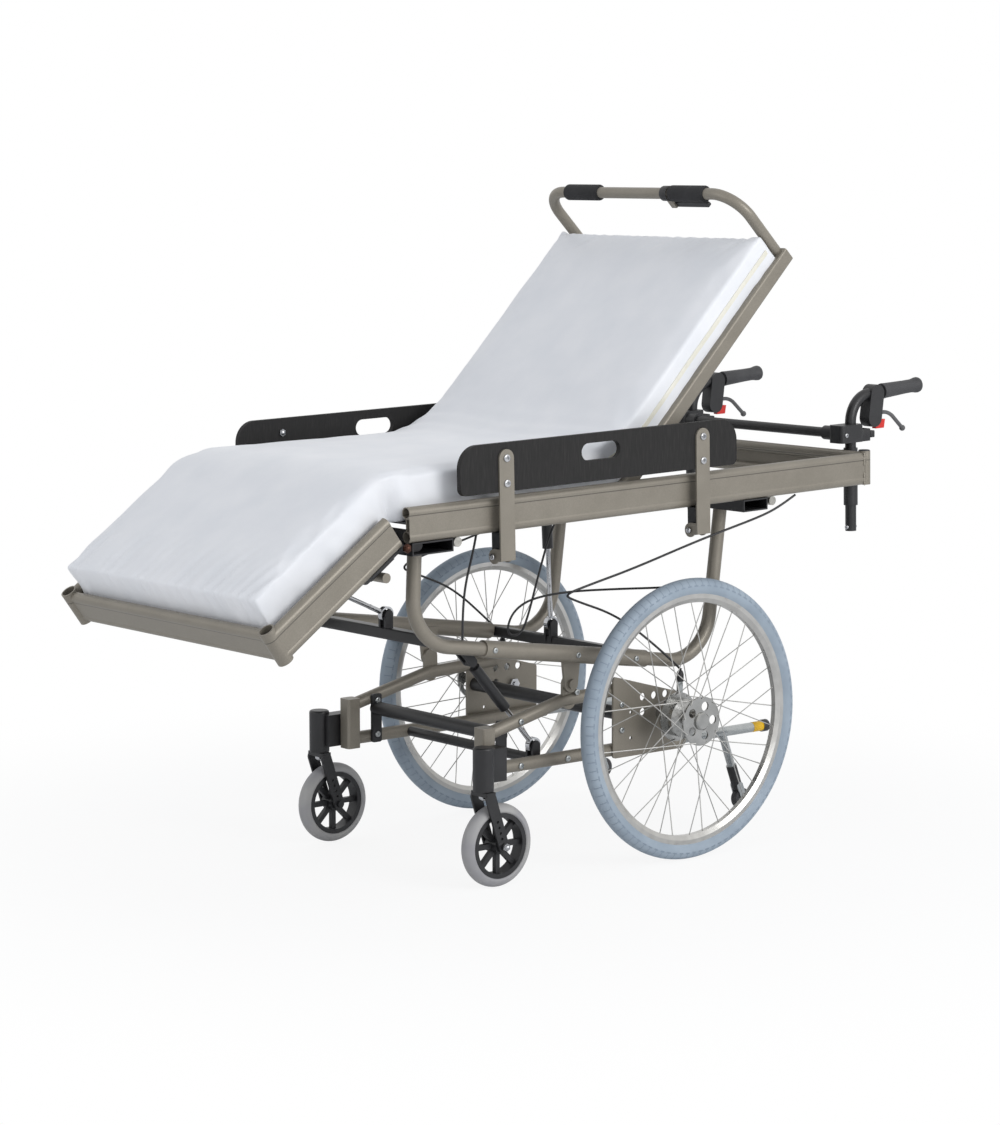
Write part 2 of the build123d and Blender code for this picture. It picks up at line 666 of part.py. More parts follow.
def side_rail():
    """Left side rail, cut to fit its corner post."""
    rail = extrude(Plane.YZ * rail_profile(-RAIL_MID_Y, -1), CORNER_U - RAIL_TUBE_D / 2)
    return rail - corner_post()


def rear_rail():
    """Rear rail with the two corner posts."""
    plane = Plane((CORNER_U, -CORNER_Y, 0), x_dir=(1, 0, 0), z_dir=(0, 1, 0))
    rail = extrude(plane * rail_profile(0, 1), 2 * CORNER_Y)
    for post in pair(corner_post()):
        rail += post
    return rail


def beam(u, length):
    """Hollow cross beam under the side rails."""
    section = Rectangle(length, BEAM_H) - Rectangle(length - 6, BEAM_H - 6)
    plane = Plane((u + length / 2, -BED_HALF + 4, RAIL_LOW - BEAM_H / 2), x_dir=(1, 0, 0), z_dir=(0, 1, 0))
    return extrude(plane * section, 2 * BED_HALF - 8)


def knee_lug():
    """Left knee lug on the front beam, with the knee bolt."""
    outer = -(BED_HALF - HINGE_INSET)
    inner = outer + HINGE_PLATE_T
    body = slot_plate((KNEE_U, KNEE_W), (BEAM_FRONT_U + 30, KNEE_W), HINGE_PLATE_W - 4, outer, inner)
    body += across(KNEE_U, KNEE_W, KNEE_PIN_D, outer, inner + HINGE_PLATE_T + 2 * GAP + 4)
    return body + across(KNEE_U, KNEE_W, KNEE_PIN_D + 3, outer - 8, outer)


def hip_lug():
    """Left hip lug on the inner side of the rail, bored for the back section's pin."""
    outer = -RAIL_IN_Y
    inner = outer + HIP_LUG_T
    body = slot_plate((HIP_U, HIP_W), (HIP_U - 34, RAIL_LOW + RAIL_TUBE_D / 2), 26, outer, inner)
    return body - across(HIP_U, HIP_W, HIP_PIN_D + 2 * RUN_GAP, outer - 1, inner + 1)


def guard_socket(u):
    """Left guard socket under the rail, with the pin that the guard's ears turn on."""
    low_y, high_y = -(BED_HALF + 10), -(BED_HALF - 14)
    body = block((u - SOCKET_L / 2, low_y, EAR_W - 10), (u + SOCKET_L / 2, high_y, RAIL_LOW))
    return body + bar((u - ARM_W / 2 - 3, -EAR_Y, EAR_W), (u + ARM_W / 2 + 3, -EAR_Y, EAR_W), EAR_PIN_D)


def handle_socket():
    """Left socket tube for the push handle, on a block behind the rear rail."""
    bore = HANDLE_D + 2 * RUN_GAP
    foot = (HANDLE_U, -HANDLE_Y, SOCKET_FOOT_W)
    top = (HANDLE_U, -HANDLE_Y, SOCKET_TOP_W)
    body = bar(foot, top, SOCKET_D)
    face = CORNER_U + RAIL_TUBE_D / 2
    body += block((face, -HANDLE_Y - 14, RAIL_LOW + 6), (HANDLE_U, -HANDLE_Y + 14, SOCKET_TOP_W - 4))
    return body - bar(foot, top, bore)


# Carrier tubes, in the chassis directions
def carrier_z(x):
    """Height of the carrier tube's long run at a place along the object."""
    (x0, z0), (x1, z1) = CARRIER_FRONT, CARRIER_REAR
    return z0 + (z1 - z0) * (x - x0) / (x1 - x0)


def carrier_tube():
    """Left U-shaped carrier tube, up to the two beams."""
    y = -CARRIER_Y
    slope = tan(radians(BED_TILT))
    tops = []
    for x, (low_x, low_z) in zip((CARRIER_TOP_FRONT_X, CARRIER_TOP_REAR_X), (CARRIER_FRONT, CARRIER_REAR)):
        beam_z = BED_MID_Z + BEAM_LOW + (x - BED_FRONT_X) * slope
        lean = atan2(x - low_x, beam_z - low_z) + radians(BED_TILT)
        tops.append((x, y, beam_z - CARRIER_D / 2 * sin(lean) - WELD_GAP))
    points = [tops[0], (CARRIER_FRONT[0], y, CARRIER_FRONT[1]), (CARRIER_REAR[0], y, CARRIER_REAR[1]), tops[1]]
    return bent_bar(points, CARRIER_BEND, CARRIER_D)


def carrier_sleeve():
    """Left sleeve on the carrier tube, with the plate that hangs on the tilt bolt."""
    y = -CARRIER_Y
    start = (SLEEVE_FROM_X, y, carrier_z(SLEEVE_FROM_X))
    end = (SLEEVE_TO_X, y, carrier_z(SLEEVE_TO_X))
    outer = -(FRAME_Y + TILT_LUG_T + GAP)
    low = outer - TILT_LUG_T
    body = bar(start, end, SLEEVE_D)
    wide = TILT_PLATE_W / 2
    top = carrier_z(TILT_X)
    web = make_face(Polyline((TILT_X - wide, top), (TILT_X + wide, top), (TILT_X + TILT_LUG_W / 2, TILT_Z),
                             (TILT_X - TILT_LUG_W / 2, TILT_Z), close=True))
    body += side_plate(web + Pos(TILT_X, TILT_Z) * Circle(TILT_LUG_W / 2), low, outer)
    body -= bar(start, end, CARRIER_D)
    return body - across(TILT_X, TILT_Z, TILT_PIN_D + 2 * RUN_GAP, low - 1, outer + 1)


def carrier_bar(x_from, x_to):
    """Flat bar between the two carrier tubes."""
    reach = CARRIER_Y - CARRIER_D / 2
    lean = degrees(atan2(CARRIER_REAR[1] - CARRIER_FRONT[1], CARRIER_REAR[0] - CARRIER_FRONT[0]))
    middle = (x_from + x_to) / 2
    section = Pos(middle, carrier_z(middle)) * Rot(0, 0, lean) * RectangleRounded(x_to - x_from, CARRIER_BAR_T, 4)
    return side_plate(section, -reach, reach)


def frame_brackets():
    """Black fittings of the bed frame: beams, lugs, sockets and the bars that hold the springs."""
    front = beam(BEAM_FRONT_U, BEAM_FRONT_L)
    for lug in pair(knee_lug()):
        front += lug
    parts = [front, beam(BEAM_REAR_U, BEAM_REAR_L)]
    parts += pair(hip_lug()) + pair(handle_socket())
    for u in ARM_US:
        parts += pair(guard_socket(u))
    placed = [BED * part for part in parts]
    front_bar = carrier_bar(*FRONT_BAR_X)
    front_bar += spring_lugs(TILT_SPRING[0], (FRONT_BAR_X[1] - 12, carrier_z(FRONT_BAR_X[1])), TILT_SPRING_Y)
    front_bar += spring_lugs(LEG_SPRING[1], (FRONT_BAR_X[0] + 14, carrier_z(FRONT_BAR_X[0])), LEG_SPRING_Y)
    rear_bar = carrier_bar(*REAR_BAR_X)
    rear_bar += spring_lugs(BACK_SPRING[1], (BACK_SPRING[1][0], carrier_z(BACK_SPRING[1][0])), BACK_SPRING_Y)
    return placed + [front_bar, rear_bar]


def deck(u_from, u_to, half, w):
    """Flat panel of a section."""
    return block((u_from, -half, w - DECK_T), (u_to, half, w))


# Mattress
def pad_section(half, tuck_half, tuck, thick, crown):
    """Cross-section of the mattress: drawn-in lower sides, bulging flanks and a crowned top."""
    shoulder = half - PAD_TUCK
    flank = (tuck + thick) / 2
    left = [(-tuck_half, tuck), (-half, flank), (-shoulder, thick)]
    right = [(shoulder, thick), (half, flank), (tuck_half, tuck)]
    edges = [ThreePointArc(*left), ThreePointArc((-shoulder, thick), (0, thick + crown), (shoulder, thick)),
             ThreePointArc(*right)]
    edges += [Line((tuck_half, tuck), (tuck_half, 0)), Line((tuck_half, 0), (-tuck_half, 0)),
              Line((-tuck_half, 0), (-tuck_half, tuck))]
    return make_face(edges)


def pad(x_from, x_to, low, half, tuck_half, tuck):
    """Mattress piece, highest and widest halfway along."""
    faces = []
    for share in (0, 0.5, 1):
        ease = 1 if share == 0.5 else 0
        drop = PAD_END_DROP * (1 - ease)
        section = pad_section(half - drop / 2, tuck_half, tuck, PAD_T - drop, PAD_CROWN)
        faces.append(Plane((x_from + (x_to - x_from) * share, 0, low), x_dir=(0, 1, 0), z_dir=(1, 0, 0)) * section)
    return loft(faces)


def hip_wedge(lean):
    """Wedge that trims a mattress piece so that back and seat can close on each other."""
    tall = 2 * PAD_T
    reach = lean * tall * tan(radians(HIP_BEVEL))
    outline = make_face(Polyline((0, -tall), (0, 0), (reach, tall), (-lean * tall, tall), (-lean * tall, -tall),
                                 close=True))
    return side_plate(outline, -BED_HALF, BED_HALF)


def seat_mattress():
    """Mattress piece on the seat, in the bed frame."""
    low = DECK_W + SEAT_GAP
    body = pad(KNEE_U + 12, HIP_U - 16, low, PAD_HALF, PAD_HALF - PAD_TUCK, 8)
    return body - Pos(HIP_U + BACK_FRONT - HIP_CLEAR, 0, HIP_W) * hip_wedge(-1)


def back_mattress():
    """Mattress piece on the back section, tucked between its rails."""
    low = BACK_DECK_N + SEAT_GAP
    tuck = BACK_RAIL_N + BACK_RAIL_H / 2 + 2 - low
    body = pad(4, BACK_LEN - BACK_RAIL_W / 2 - PUSH_D / 2 - 3, low, BACK_HALF - 2, BACK_HALF - BACK_RAIL_W - 2, tuck)
    return body - Pos(1, 0, 0) * hip_wedge(1)


def leg_mattress():
    """Mattress piece on the leg section."""
    low = LEG_DECK_N + SEAT_GAP
    return pad(-(LEG_LEN - FOOT_POST_D + 2), -4, low, PAD_HALF, PAD_HALF - PAD_TUCK, 8)


# Back section, with its hinge line at the origin
def back_rail_section():
    """Rounded box tube of the back frame."""
    inner = RectangleRounded(BACK_RAIL_W - 2 * RAIL_WALL, BACK_RAIL_H - 2 * RAIL_WALL, 3)
    return RectangleRounded(BACK_RAIL_W, BACK_RAIL_H, 5) - inner


def back_frame():
    """Two rails with a head rail, hip pins and the bar that takes the back spring."""
    mid = BACK_HALF - BACK_RAIL_W / 2
    head = BACK_LEN - BACK_RAIL_W / 2
    plane = Plane((head, -mid, BACK_RAIL_N), x_dir=(1, 0, 0), z_dir=(0, 1, 0))
    body = extrude(plane * back_rail_section(), 2 * mid)
    for side in (-1, 1):
        plane = Plane((BACK_FRONT, side * mid, BACK_RAIL_N), x_dir=(0, 1, 0), z_dir=(1, 0, 0))
        body += extrude(plane * back_rail_section(), BACK_LEN - BACK_FRONT)
        body += across(0, 0, HIP_PIN_D, side * (BACK_HALF - 8), side * (RAIL_IN_Y - GAP))
        cheek = sorted((side * BACK_HALF, side * (BACK_HALF - 4)))
        body += slot_plate((0, 0), (8, BACK_RAIL_N), HIP_PIN_D + 10, *cheek)
    seat = BACK_SPRING_SEAT[0]
    bar_n = BACK_RAIL_N - BACK_RAIL_H / 2 - BAR_D / 2 + 2
    body += across(seat, bar_n, BAR_D, -BACK_HALF, BACK_HALF)
    return body + spring_lugs(BACK_SPRING_SEAT, (seat, bar_n), BACK_SPRING_Y)


def push_bar():
    """Bent bar that stands up from the head rail, with the clamp that holds the release lever."""
    s = BACK_LEN - BACK_RAIL_W / 2
    root = BACK_RAIL_N + BACK_RAIL_H / 2
    leg = BACK_HALF - BACK_RAIL_W / 2 - PUSH_INSET
    points = [(s, -leg, root), (s, -leg, PUSH_REACH), (s, leg, PUSH_REACH), (s, leg, root)]
    body = bent_bar(points, PUSH_BEND, PUSH_D)
    body += across(s, PUSH_REACH, PUSH_D + 7, LEVER_PIVOT_Y - 9, LEVER_PIVOT_Y + 9)
    half = LEVER_T / 2 + GAP
    pin_half = half + LEVER_CHEEK_T
    outline = Pos(LEVER_PIVOT_Y, PUSH_REACH - LEVER_DROP / 2) * Rectangle(16, LEVER_DROP + 12)
    for start in (s - pin_half, s + half):
        cheek = Plane((start, 0, 0), x_dir=(0, 1, 0), z_dir=(1, 0, 0))
        body += extrude(cheek * outline, LEVER_CHEEK_T)
    return body + bar((s - pin_half, LEVER_PIVOT_Y, PUSH_REACH - LEVER_DROP),
                      (s + pin_half, LEVER_PIVOT_Y, PUSH_REACH - LEVER_DROP), BRAKE_PIN_D)


def release_lever():
    """Flat lever below the left foam grip."""
    s = BACK_LEN - BACK_RAIL_W / 2
    n = PUSH_REACH - LEVER_DROP
    plane = Plane((s - LEVER_T / 2, 0, 0), x_dir=(0, 1, 0), z_dir=(1, 0, 0))
    outline = Pos(LEVER_PIVOT_Y - LEVER_L / 2, n) * SlotCenterToCenter(LEVER_L, 13)
    outline -= Pos(LEVER_PIVOT_Y, n) * Circle(BRAKE_PIN_D / 2 + RUN_GAP)
    return extrude(plane * outline, LEVER_T)


def foam_grips():
    """Foam sleeves on the push bar."""
    s = BACK_LEN - BACK_RAIL_W / 2
    grips = []
    for y in (-FOAM_MID_Y, FOAM_MID_Y):
        grip = across(s, PUSH_REACH, FOAM_D, y - FOAM_L / 2, y + FOAM_L / 2)
        grip = fillet(grip.edges().filter_by(GeomType.CIRCLE), 6)
        grips.append(grip - across(s, PUSH_REACH, PUSH_D, y - FOAM_L, y + FOAM_L))
    return grips


# Leg section, with the knee bolt at the origin
def leg_frame():
    """Two rails, a foot rail, open foot posts and the bar that takes the leg spring."""
    mid = KNEE_DROP + RAIL_H / 2
    foot = -(LEG_LEN - FOOT_POST_D / 2)
    post_y = BED_HALF - FOOT_POST_D / 2
    plane = Plane((foot, -post_y, mid), x_dir=(1, 0, 0), z_dir=(0, 1, 0))
    body = extrude(plane * rail_profile(0, -1), 2 * post_y)
    for side in (-1, 1):
        rail = Plane((foot, 0, mid), x_dir=(0, 1, 0), z_dir=(1, 0, 0)) * rail_profile(side * RAIL_MID_Y, side)
        body += extrude(rail, -foot - LEG_GAP)
    for side in (-1, 1):
        low = (foot, side * post_y, KNEE_DROP - 3)
        high = (foot, side * post_y, KNEE_DROP + RAIL_H + 4)
        body += bar(low, high, FOOT_POST_D)
    for side in (-1, 1):
        low = (foot, side * post_y, KNEE_DROP - 3)
        high = (foot, side * post_y, KNEE_DROP + RAIL_H + 4)
        body -= bar(low, high, FOOT_POST_D - 2 * FOOT_POST_WALL)
    return body


def leg_spring_bar():
    """Bar under the hinge plates, with lugs for the leg spring."""
    s, n = LEG_SPRING_SEAT
    bar_n = -HINGE_PLATE_W / 2 - BAR_D / 2
    body = across(s, bar_n, BAR_D, -(BED_HALF - 18), BED_HALF - 18)
    return body + spring_lugs(LEG_SPRING_SEAT, (s, bar_n), LEG_SPRING_Y)


def knee_hinge():
    """Left hinge plate of the leg section, with a flange under the rail."""
    outer = -(BED_HALF - HINGE_INSET - HINGE_PLATE_T - GAP)
    inner = outer + HINGE_PLATE_T
    half = HINGE_PLATE_W / 2
    outline = Pos(-HINGE_PLATE_L / 2, 0) * SlotCenterToCenter(HINGE_PLATE_L, HINGE_PLATE_W - 4)
    outline += Pos(-HINGE_PLATE_L / 2 - 6, -4) * Rectangle(HINGE_PLATE_L - 26, HINGE_PLATE_W - 8)
    body = side_plate(outline, outer, inner)
    body += block((-HINGE_PLATE_L, -(RAIL_MID_Y + 6), KNEE_DROP - 5), (-24, inner, KNEE_DROP))
    return body - across(0, 0, KNEE_PIN_D + 2 * RUN_GAP, outer - 1, inner + 1)


# Side guards, in the bed frame
def guard_board():
    """Left guard board with large upper corners and a hand slot."""
    low = RAIL_H / 2 + GUARD_LIFT
    outline = Pos(GUARD_LEAD_U + GUARD_L / 2, low + GUARD_H / 2) * Rectangle(GUARD_L, GUARD_H)
    rows = outline.vertices().group_by(Axis.Y)
    outline = fillet(rows[-1], GUARD_TOP_R)
    outline = fillet(outline.vertices().group_by(Axis.Y)[0], GUARD_FOOT_R)
    outline -= Pos(GUARD_LEAD_U + GUARD_SLOT_AT, low + GUARD_H * 0.62) * SlotOverall(GUARD_SLOT_L, GUARD_SLOT_H)
    return side_plate(outline, -GUARD_OUT, -GUARD_IN)


def guard_arm(u):
    """One left guard arm: flat strip with two ears that turn on the socket's pin."""
    outer = -(GUARD_OUT + ARM_T)
    top = ARM_TOP_W - ARM_W / 2
    outline = Pos(u, top) * Circle(ARM_W / 2)
    outline += Pos(u, (top + ARM_FOOT_W) / 2) * Rectangle(ARM_W, top - ARM_FOOT_W)
    body = side_plate(outline, outer, -GUARD_OUT)
    ear = Pos(-EAR_Y, EAR_W) * Circle(EAR_R)
    ear += Pos(-(EAR_Y + GUARD_OUT) / 2, EAR_W + 4) * Rectangle(GUARD_OUT - EAR_Y + 1, 2 * EAR_R - 6)
    ear -= Pos(-EAR_Y, EAR_W) * Circle(EAR_PIN_D / 2 + RUN_GAP)
    for edge in (u - ARM_W / 2, u + ARM_W / 2 - ARM_T):
        body += extrude(Plane((edge, 0, 0), x_dir=(0, 1, 0), z_dir=(1, 0, 0)) * ear, ARM_T)
    return body


# Push handles, in the bed frame
def handle_tube():
    """Left handle tube: an upright that slides in its socket, bent back to the grip."""
    y = -HANDLE_Y
    points = [(HANDLE_U, y, HANDLE_FOOT_W), (HANDLE_U, y, HANDLE_TOP_W), (HANDLE_END_U - 8, y, HANDLE_END_W - 1)]
    return bent_bar(points, HANDLE_BEND, HANDLE_D)


def handle_grip():
    """Left grip, flared at the end."""
    slope = (HANDLE_END_W - HANDLE_TOP_W) / (HANDLE_END_U - HANDLE_U)
    start = Vector(HANDLE_END_U - GRIP_L, -HANDLE_Y, HANDLE_END_W - slope * GRIP_L)
    end = Vector(HANDLE_END_U, -HANDLE_Y, HANDLE_END_W)
    run = (end - start).normalized()
    body = bar(start, end, GRIP_D - 4) + bar(end - run * 14, end, GRIP_D) + bar(start, start + run * 8, GRIP_D)
    return body - handle_tube()


def handle_clamps():
    """Crossbar with a clamp round each handle tube, and the two brake-lever housings."""
    low, high = CLAMP_W - CLAMP_H / 2, CLAMP_W + CLAMP_H / 2
    body = across(CROSSBAR_U, CLAMP_W, BAR_D + 2, -HANDLE_Y, HANDLE_Y)
    for side in (-1, 1):
        outline = RectangleRounded(HANDLE_U - CROSSBAR_U + CLAMP_T, CLAMP_T, 10)
        body += Pos((HANDLE_U + CROSSBAR_U) / 2, side * HANDLE_Y, low) * extrude(outline, CLAMP_H)
        body += across(CROSSBAR_U, CLAMP_W, BAR_D + 12, side * HANDLE_Y, side * (HANDLE_Y - CLAMP_L / 2))
    for tube in pair(handle_tube()):
        body -= tube
    return [body] + pair(lever_housing())


def lever_housing():
    """Left brake-lever housing under the grip root, with slots for lever and lock trigger."""
    y = -HANDLE_Y
    half = LEVER_BOX_T / 2
    slot = LEVER_BOSS_T / 2 + GAP
    root = (LEVER_BOX_U + 8, HANDLE_TOP_W + 2)
    foot = (LEVER_BOX_U, LEVER_BOX_W - 8)
    pin_u, end_u = LEVER_BOX_U + LEVER_AT, LEVER_BOX_U + SLOT_REACH
    body = slot_plate(root, foot, LEVER_BOX_D, y - half, y + half)
    body -= across(pin_u, LEVER_BOX_W, 2 * LEVER_BOSS_R + 4, y - slot, y + slot)
    body -= block((pin_u, y - slot, LEVER_BOX_W - 12), (end_u, y + slot, LEVER_BOX_W + 16))
    body += across(pin_u, LEVER_BOX_W, BRAKE_PIN_D, y - half, y + half)
    pocket = TRIGGER_W / 2 + GAP
    body -= block((LEVER_BOX_U + 4, y - pocket, LEVER_BOX_W - TRIGGER_LOW - GAP),
                  (end_u, y + pocket, LEVER_BOX_W - TRIGGER_TOP + GAP))
    return body - handle_tube()


def brake_lever():
    """Left brake lever, curved under the grip, with a round tip."""
    y = -HANDLE_Y
    u, w = LEVER_BOX_U + LEVER_AT, LEVER_BOX_W
    tip = (u + BRAKE_LEVER_L, y, w - LEVER_CURL)
    points = [(u, y, w), (u + BRAKE_LEVER_L * 0.5, y, w + 2), tip]
    body = bent_bar(points, 50, LEVER_ROD_D)
    body += Pos(*tip) * Sphere(LEVER_TIP_D / 2)
    half = LEVER_BOSS_T / 2
    body += across(u, w, 2 * LEVER_BOSS_R, y - half, y + half)
    return body - across(u, w, BRAKE_PIN_D + 2 * RUN_GAP, y - half, y + half)


def lock_trigger():
    """Left red lock trigger, a small slide below the lever."""
    y = -HANDLE_Y
    half = TRIGGER_W / 2
    start, end = LEVER_BOX_U + 11, LEVER_BOX_U + 11 + TRIGGER_L
    low, high = LEVER_BOX_W - TRIGGER_LOW, LEVER_BOX_W - TRIGGER_TOP
    outline = make_face(Polyline((start, low), (end - 4, low), (end, high), (start, high), close=True))
    return side_plate(outline, y - half, y + half)


# Cables
def cable(points):
    """Cable along a smooth curve that starts and ends at the outer points and rounds every corner."""
    spots = [Vector(*point) for point in points]
    joints = [spots[0]] + [(a + b) / 2 for a, b in zip(spots[1:-2], spots[2:-1])] + [spots[-1]]
    path = Wire([Bezier(a, turn, b) for a, turn, b in zip(joints[:-1], spots[1:-1], joints[1:])])
    return sweep(Plane(spots[0], z_dir=spots[1] - spots[0]) * Circle(CABLE_D / 2), path=path)


# All nodes: name, pieces
def spun(solid, x, y, z):
    """Put a wheel piece on the left side at its place, and its mirror image on the right."""
    return pair(Pos(x, y, z) * solid)


def all_nodes():
    """Every piece of the object by name, at its place."""
    nodes = {}
    caster_x = CASTER_X + CASTER_TRAIL
    sides = {
        "tyre": spun(tyre(WHEEL_R, TYRE_W, TYRE_DEPTH, RIM_W), 0, -WHEEL_Y, WHEEL_R),
        "hub": spun(hub(), 0, -WHEEL_Y, WHEEL_R),
        "caster_fork": pair(caster_fork()),
        "caster_core": spun(caster_core(), caster_x, -CASTER_Y, CASTER_D / 2),
        "caster_tyre": spun(tyre(CASTER_D / 2, CASTER_W, CASTER_TYRE_T, CASTER_W * 0.84), caster_x, -CASTER_Y,
                            CASTER_D / 2),
        "anti_tipper": pair(anti_tipper()),
        "tipper_roller": pair(tipper_roller()),
        "guard_board": pair(BED * guard_board()),
        "brake_lever": pair(BED * brake_lever()),
        "lock_trigger": pair(BED * lock_trigger()),
    }
    for name, (left, right) in sides.items():
        nodes["left_" + name] = [left]
        nodes["right_" + name] = [right]
    wheel = [rim()] + [spoke(i) for i in range(SPOKES)]
    rims = [spun(piece, 0, -WHEEL_Y, WHEEL_R) for piece in wheel]
    arms = [pair(BED * guard_arm(u)) for u in ARM_US]
    for side, name in enumerate(("left_", "right_")):
        nodes[name + "rim"] = [pieces[side] for pieces in rims]
        nodes[name + "guard_arms"] = [pieces[side] for pieces in arms]
    nodes["side_frames"] = pair(side_frame())
    nodes["caster_housings"] = pair(caster_housing())
    nodes["axle_plates"] = pair(axle_plate())
    nodes["cross_tubes"] = cross_tubes()
    nodes["axles"] = pair(axle())
    nodes["brake_plates"] = pair(brake_plate())
    nodes["side_rails"] = pair(BED * side_rail())
    nodes["rear_rail"] = [BED * rear_rail()]
    bar_w = RAIL_LOW - BAR_D / 2
    nodes["cross_bars"] = [BED * across(u, bar_w, BAR_D, -RAIL_MID_Y, RAIL_MID_Y) for u in BAR_US]
    nodes["carrier_tubes"] = pair(carrier_tube())
    nodes["carrier_sleeves"] = pair(carrier_sleeve())
    nodes["frame_brackets"] = frame_brackets()
    web = BED_HALF - 1 - RAIL_WEB
    nodes["seat_deck"] = [BED * deck(6, HIP_U - 60, web, DECK_W)]
    nodes["seat_mattress"] = [BED * seat_mattress()]
    nodes["back_frame"] = [BACK * back_frame()]
    nodes["back_deck"] = [BACK * deck(6, BACK_LEN - BACK_RAIL_W, BACK_HALF - BACK_RAIL_W, BACK_DECK_N)]
    nodes["back_mattress"] = [BACK * back_mattress()]
    nodes["push_bar"] = [BACK * push_bar()]
    nodes["foam_grips"] = [BACK * grip for grip in foam_grips()]
    nodes["release_lever"] = [BACK * release_lever()]
    nodes["leg_frame"] = [LEG * leg_frame(), LEG * leg_spring_bar()]
    nodes["knee_hinges"] = [LEG * plate for plate in pair(knee_hinge())]
    foot_face = LEG_LEN - FOOT_POST_D - 1
    nodes["leg_deck"] = [LEG * deck(-foot_face, -8, web, LEG_DECK_N)]
    nodes["leg_mattress"] = [LEG * leg_mattress()]
    nodes["handle_tubes"] = [BED * tube for tube in pair(handle_tube())]
    nodes["handle_grips"] = [BED * grip for grip in pair(handle_grip())]
    nodes["handle_clamps"] = [BED * part for part in handle_clamps()]
    nodes["brake_cables"] = pair(cable(BRAKE_CABLE))
    nodes["release_cables"] = [cable(CARRIER_CABLE), cable(SPRING_CABLE)]
    springs = {"tilt": (TILT_SPRING, TILT_SPRING_Y, 0.55), "back": (BACK_SPRING, BACK_SPRING_Y, 0.55),
               "leg": (LEG_SPRING, LEG_SPRING_Y, 0.52)}
    for name, (ends, y, share) in springs.items():
        cylinder, rod = gas_spring(ends, y, share)
        nodes[name + "_cylinder"] = [cylinder]
        nodes[name + "_rod"] = [rod]
    return nodes


def main():
    """Centre the object on its origin and write one file for each node."""
    nodes = all_nodes()
    boxes = [piece.bounding_box() for pieces in nodes.values() for piece in pieces]
    foot_end = min(box.min.X for box in boxes)
    handle_end = max(box.max.X for box in boxes)
    shift = Pos(-(foot_end + handle_end) / 2, 0, 0)
    os.makedirs("parts", exist_ok=True)
    for name, pieces in nodes.items():
        export_step(Compound(children=[shift * piece for piece in pieces]), f"parts/{name}.step")
    print("from", foot_end, "to", handle_end, "shift", shift.position.X)
    print("knee", KNEE, "hip", HIP, "back spring", BACK_SPRING[0], "leg spring", LEG_SPRING[0])


main()
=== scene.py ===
# %% [markdown]
# Reclining wheelchair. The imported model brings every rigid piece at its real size: tubes, wheels,
# springs and levers. This lesson adds what a metalworker's drawing leaves out: the mattress,
# the cables, the tread, the screws and the finish of each surface.

# %% Load the frame
import json
from math import atan2, cos, pi, radians, sin

import bmesh
import bpy
from mathutils import Matrix, Vector, noise
from mathutils.bvhtree import BVHTree

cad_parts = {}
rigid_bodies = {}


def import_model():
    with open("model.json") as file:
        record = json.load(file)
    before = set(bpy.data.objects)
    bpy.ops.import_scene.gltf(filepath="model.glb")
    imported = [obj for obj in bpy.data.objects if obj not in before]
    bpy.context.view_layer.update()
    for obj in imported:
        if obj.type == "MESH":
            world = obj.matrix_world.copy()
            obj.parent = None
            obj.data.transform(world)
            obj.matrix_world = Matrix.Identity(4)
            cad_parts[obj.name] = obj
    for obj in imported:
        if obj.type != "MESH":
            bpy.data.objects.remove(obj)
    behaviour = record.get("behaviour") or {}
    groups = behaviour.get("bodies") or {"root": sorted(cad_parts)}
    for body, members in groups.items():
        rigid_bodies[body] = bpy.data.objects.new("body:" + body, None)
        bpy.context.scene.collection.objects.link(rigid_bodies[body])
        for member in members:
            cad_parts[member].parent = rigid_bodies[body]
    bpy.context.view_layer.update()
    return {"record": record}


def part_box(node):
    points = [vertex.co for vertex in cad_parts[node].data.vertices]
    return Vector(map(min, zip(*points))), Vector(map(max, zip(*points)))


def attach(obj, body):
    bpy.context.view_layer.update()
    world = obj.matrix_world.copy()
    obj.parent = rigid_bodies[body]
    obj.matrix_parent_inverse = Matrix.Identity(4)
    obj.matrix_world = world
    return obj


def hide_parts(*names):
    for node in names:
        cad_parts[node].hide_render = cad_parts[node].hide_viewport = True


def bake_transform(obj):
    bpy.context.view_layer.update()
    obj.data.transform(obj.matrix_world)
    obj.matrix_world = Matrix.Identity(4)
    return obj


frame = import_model()

# %% [markdown]
# The camera stands at the viewing point of the photograph: to the front left of the foot end, a little
# above the bed. Its place comes from a fit over both rear wheels and the bed rails, with a long lens.

# %% Camera
CAMERA_AT = Vector((-4.3544, -5.152, 1.496))
CAMERA_AIM = Vector((0.0242, 0.1155, 0.6101))
LENS_MM = 99.56

camera_data = bpy.data.cameras.new("studio_camera")
camera_data.lens = LENS_MM
camera_data.sensor_width = 36
camera = bpy.data.objects.new("studio_camera", camera_data)
camera.location = CAMERA_AT
camera.rotation_euler = (CAMERA_AIM - CAMERA_AT).to_track_quat("-Z", "Y").to_euler()
bpy.context.scene.collection.objects.link(camera)
bpy.context.scene.camera = camera
print("camera", [round(v, 3) for v in camera.location])

# %% [markdown]
# Materials. One function turns the hex colours into linear light and one adds a node. Each finish is
# named for what it is on the real chair, and its pattern scale comes from a size in millimetres.

# %% Colour and node helpers
def linear(hex_colour):
    """Linear colour with alpha from an sRGB hex value."""
    parts = [int(hex_colour[i:i + 2], 16) / 255 for i in (1, 3, 5)]
    return [c / 12.92 if c <= 0.04045 else ((c + 0.055) / 1.055) ** 2.4 for c in parts] + [1.0]


def grey(value):
    """Plain grey for ramps that drive roughness or height."""
    return (value, value, value, 1.0)


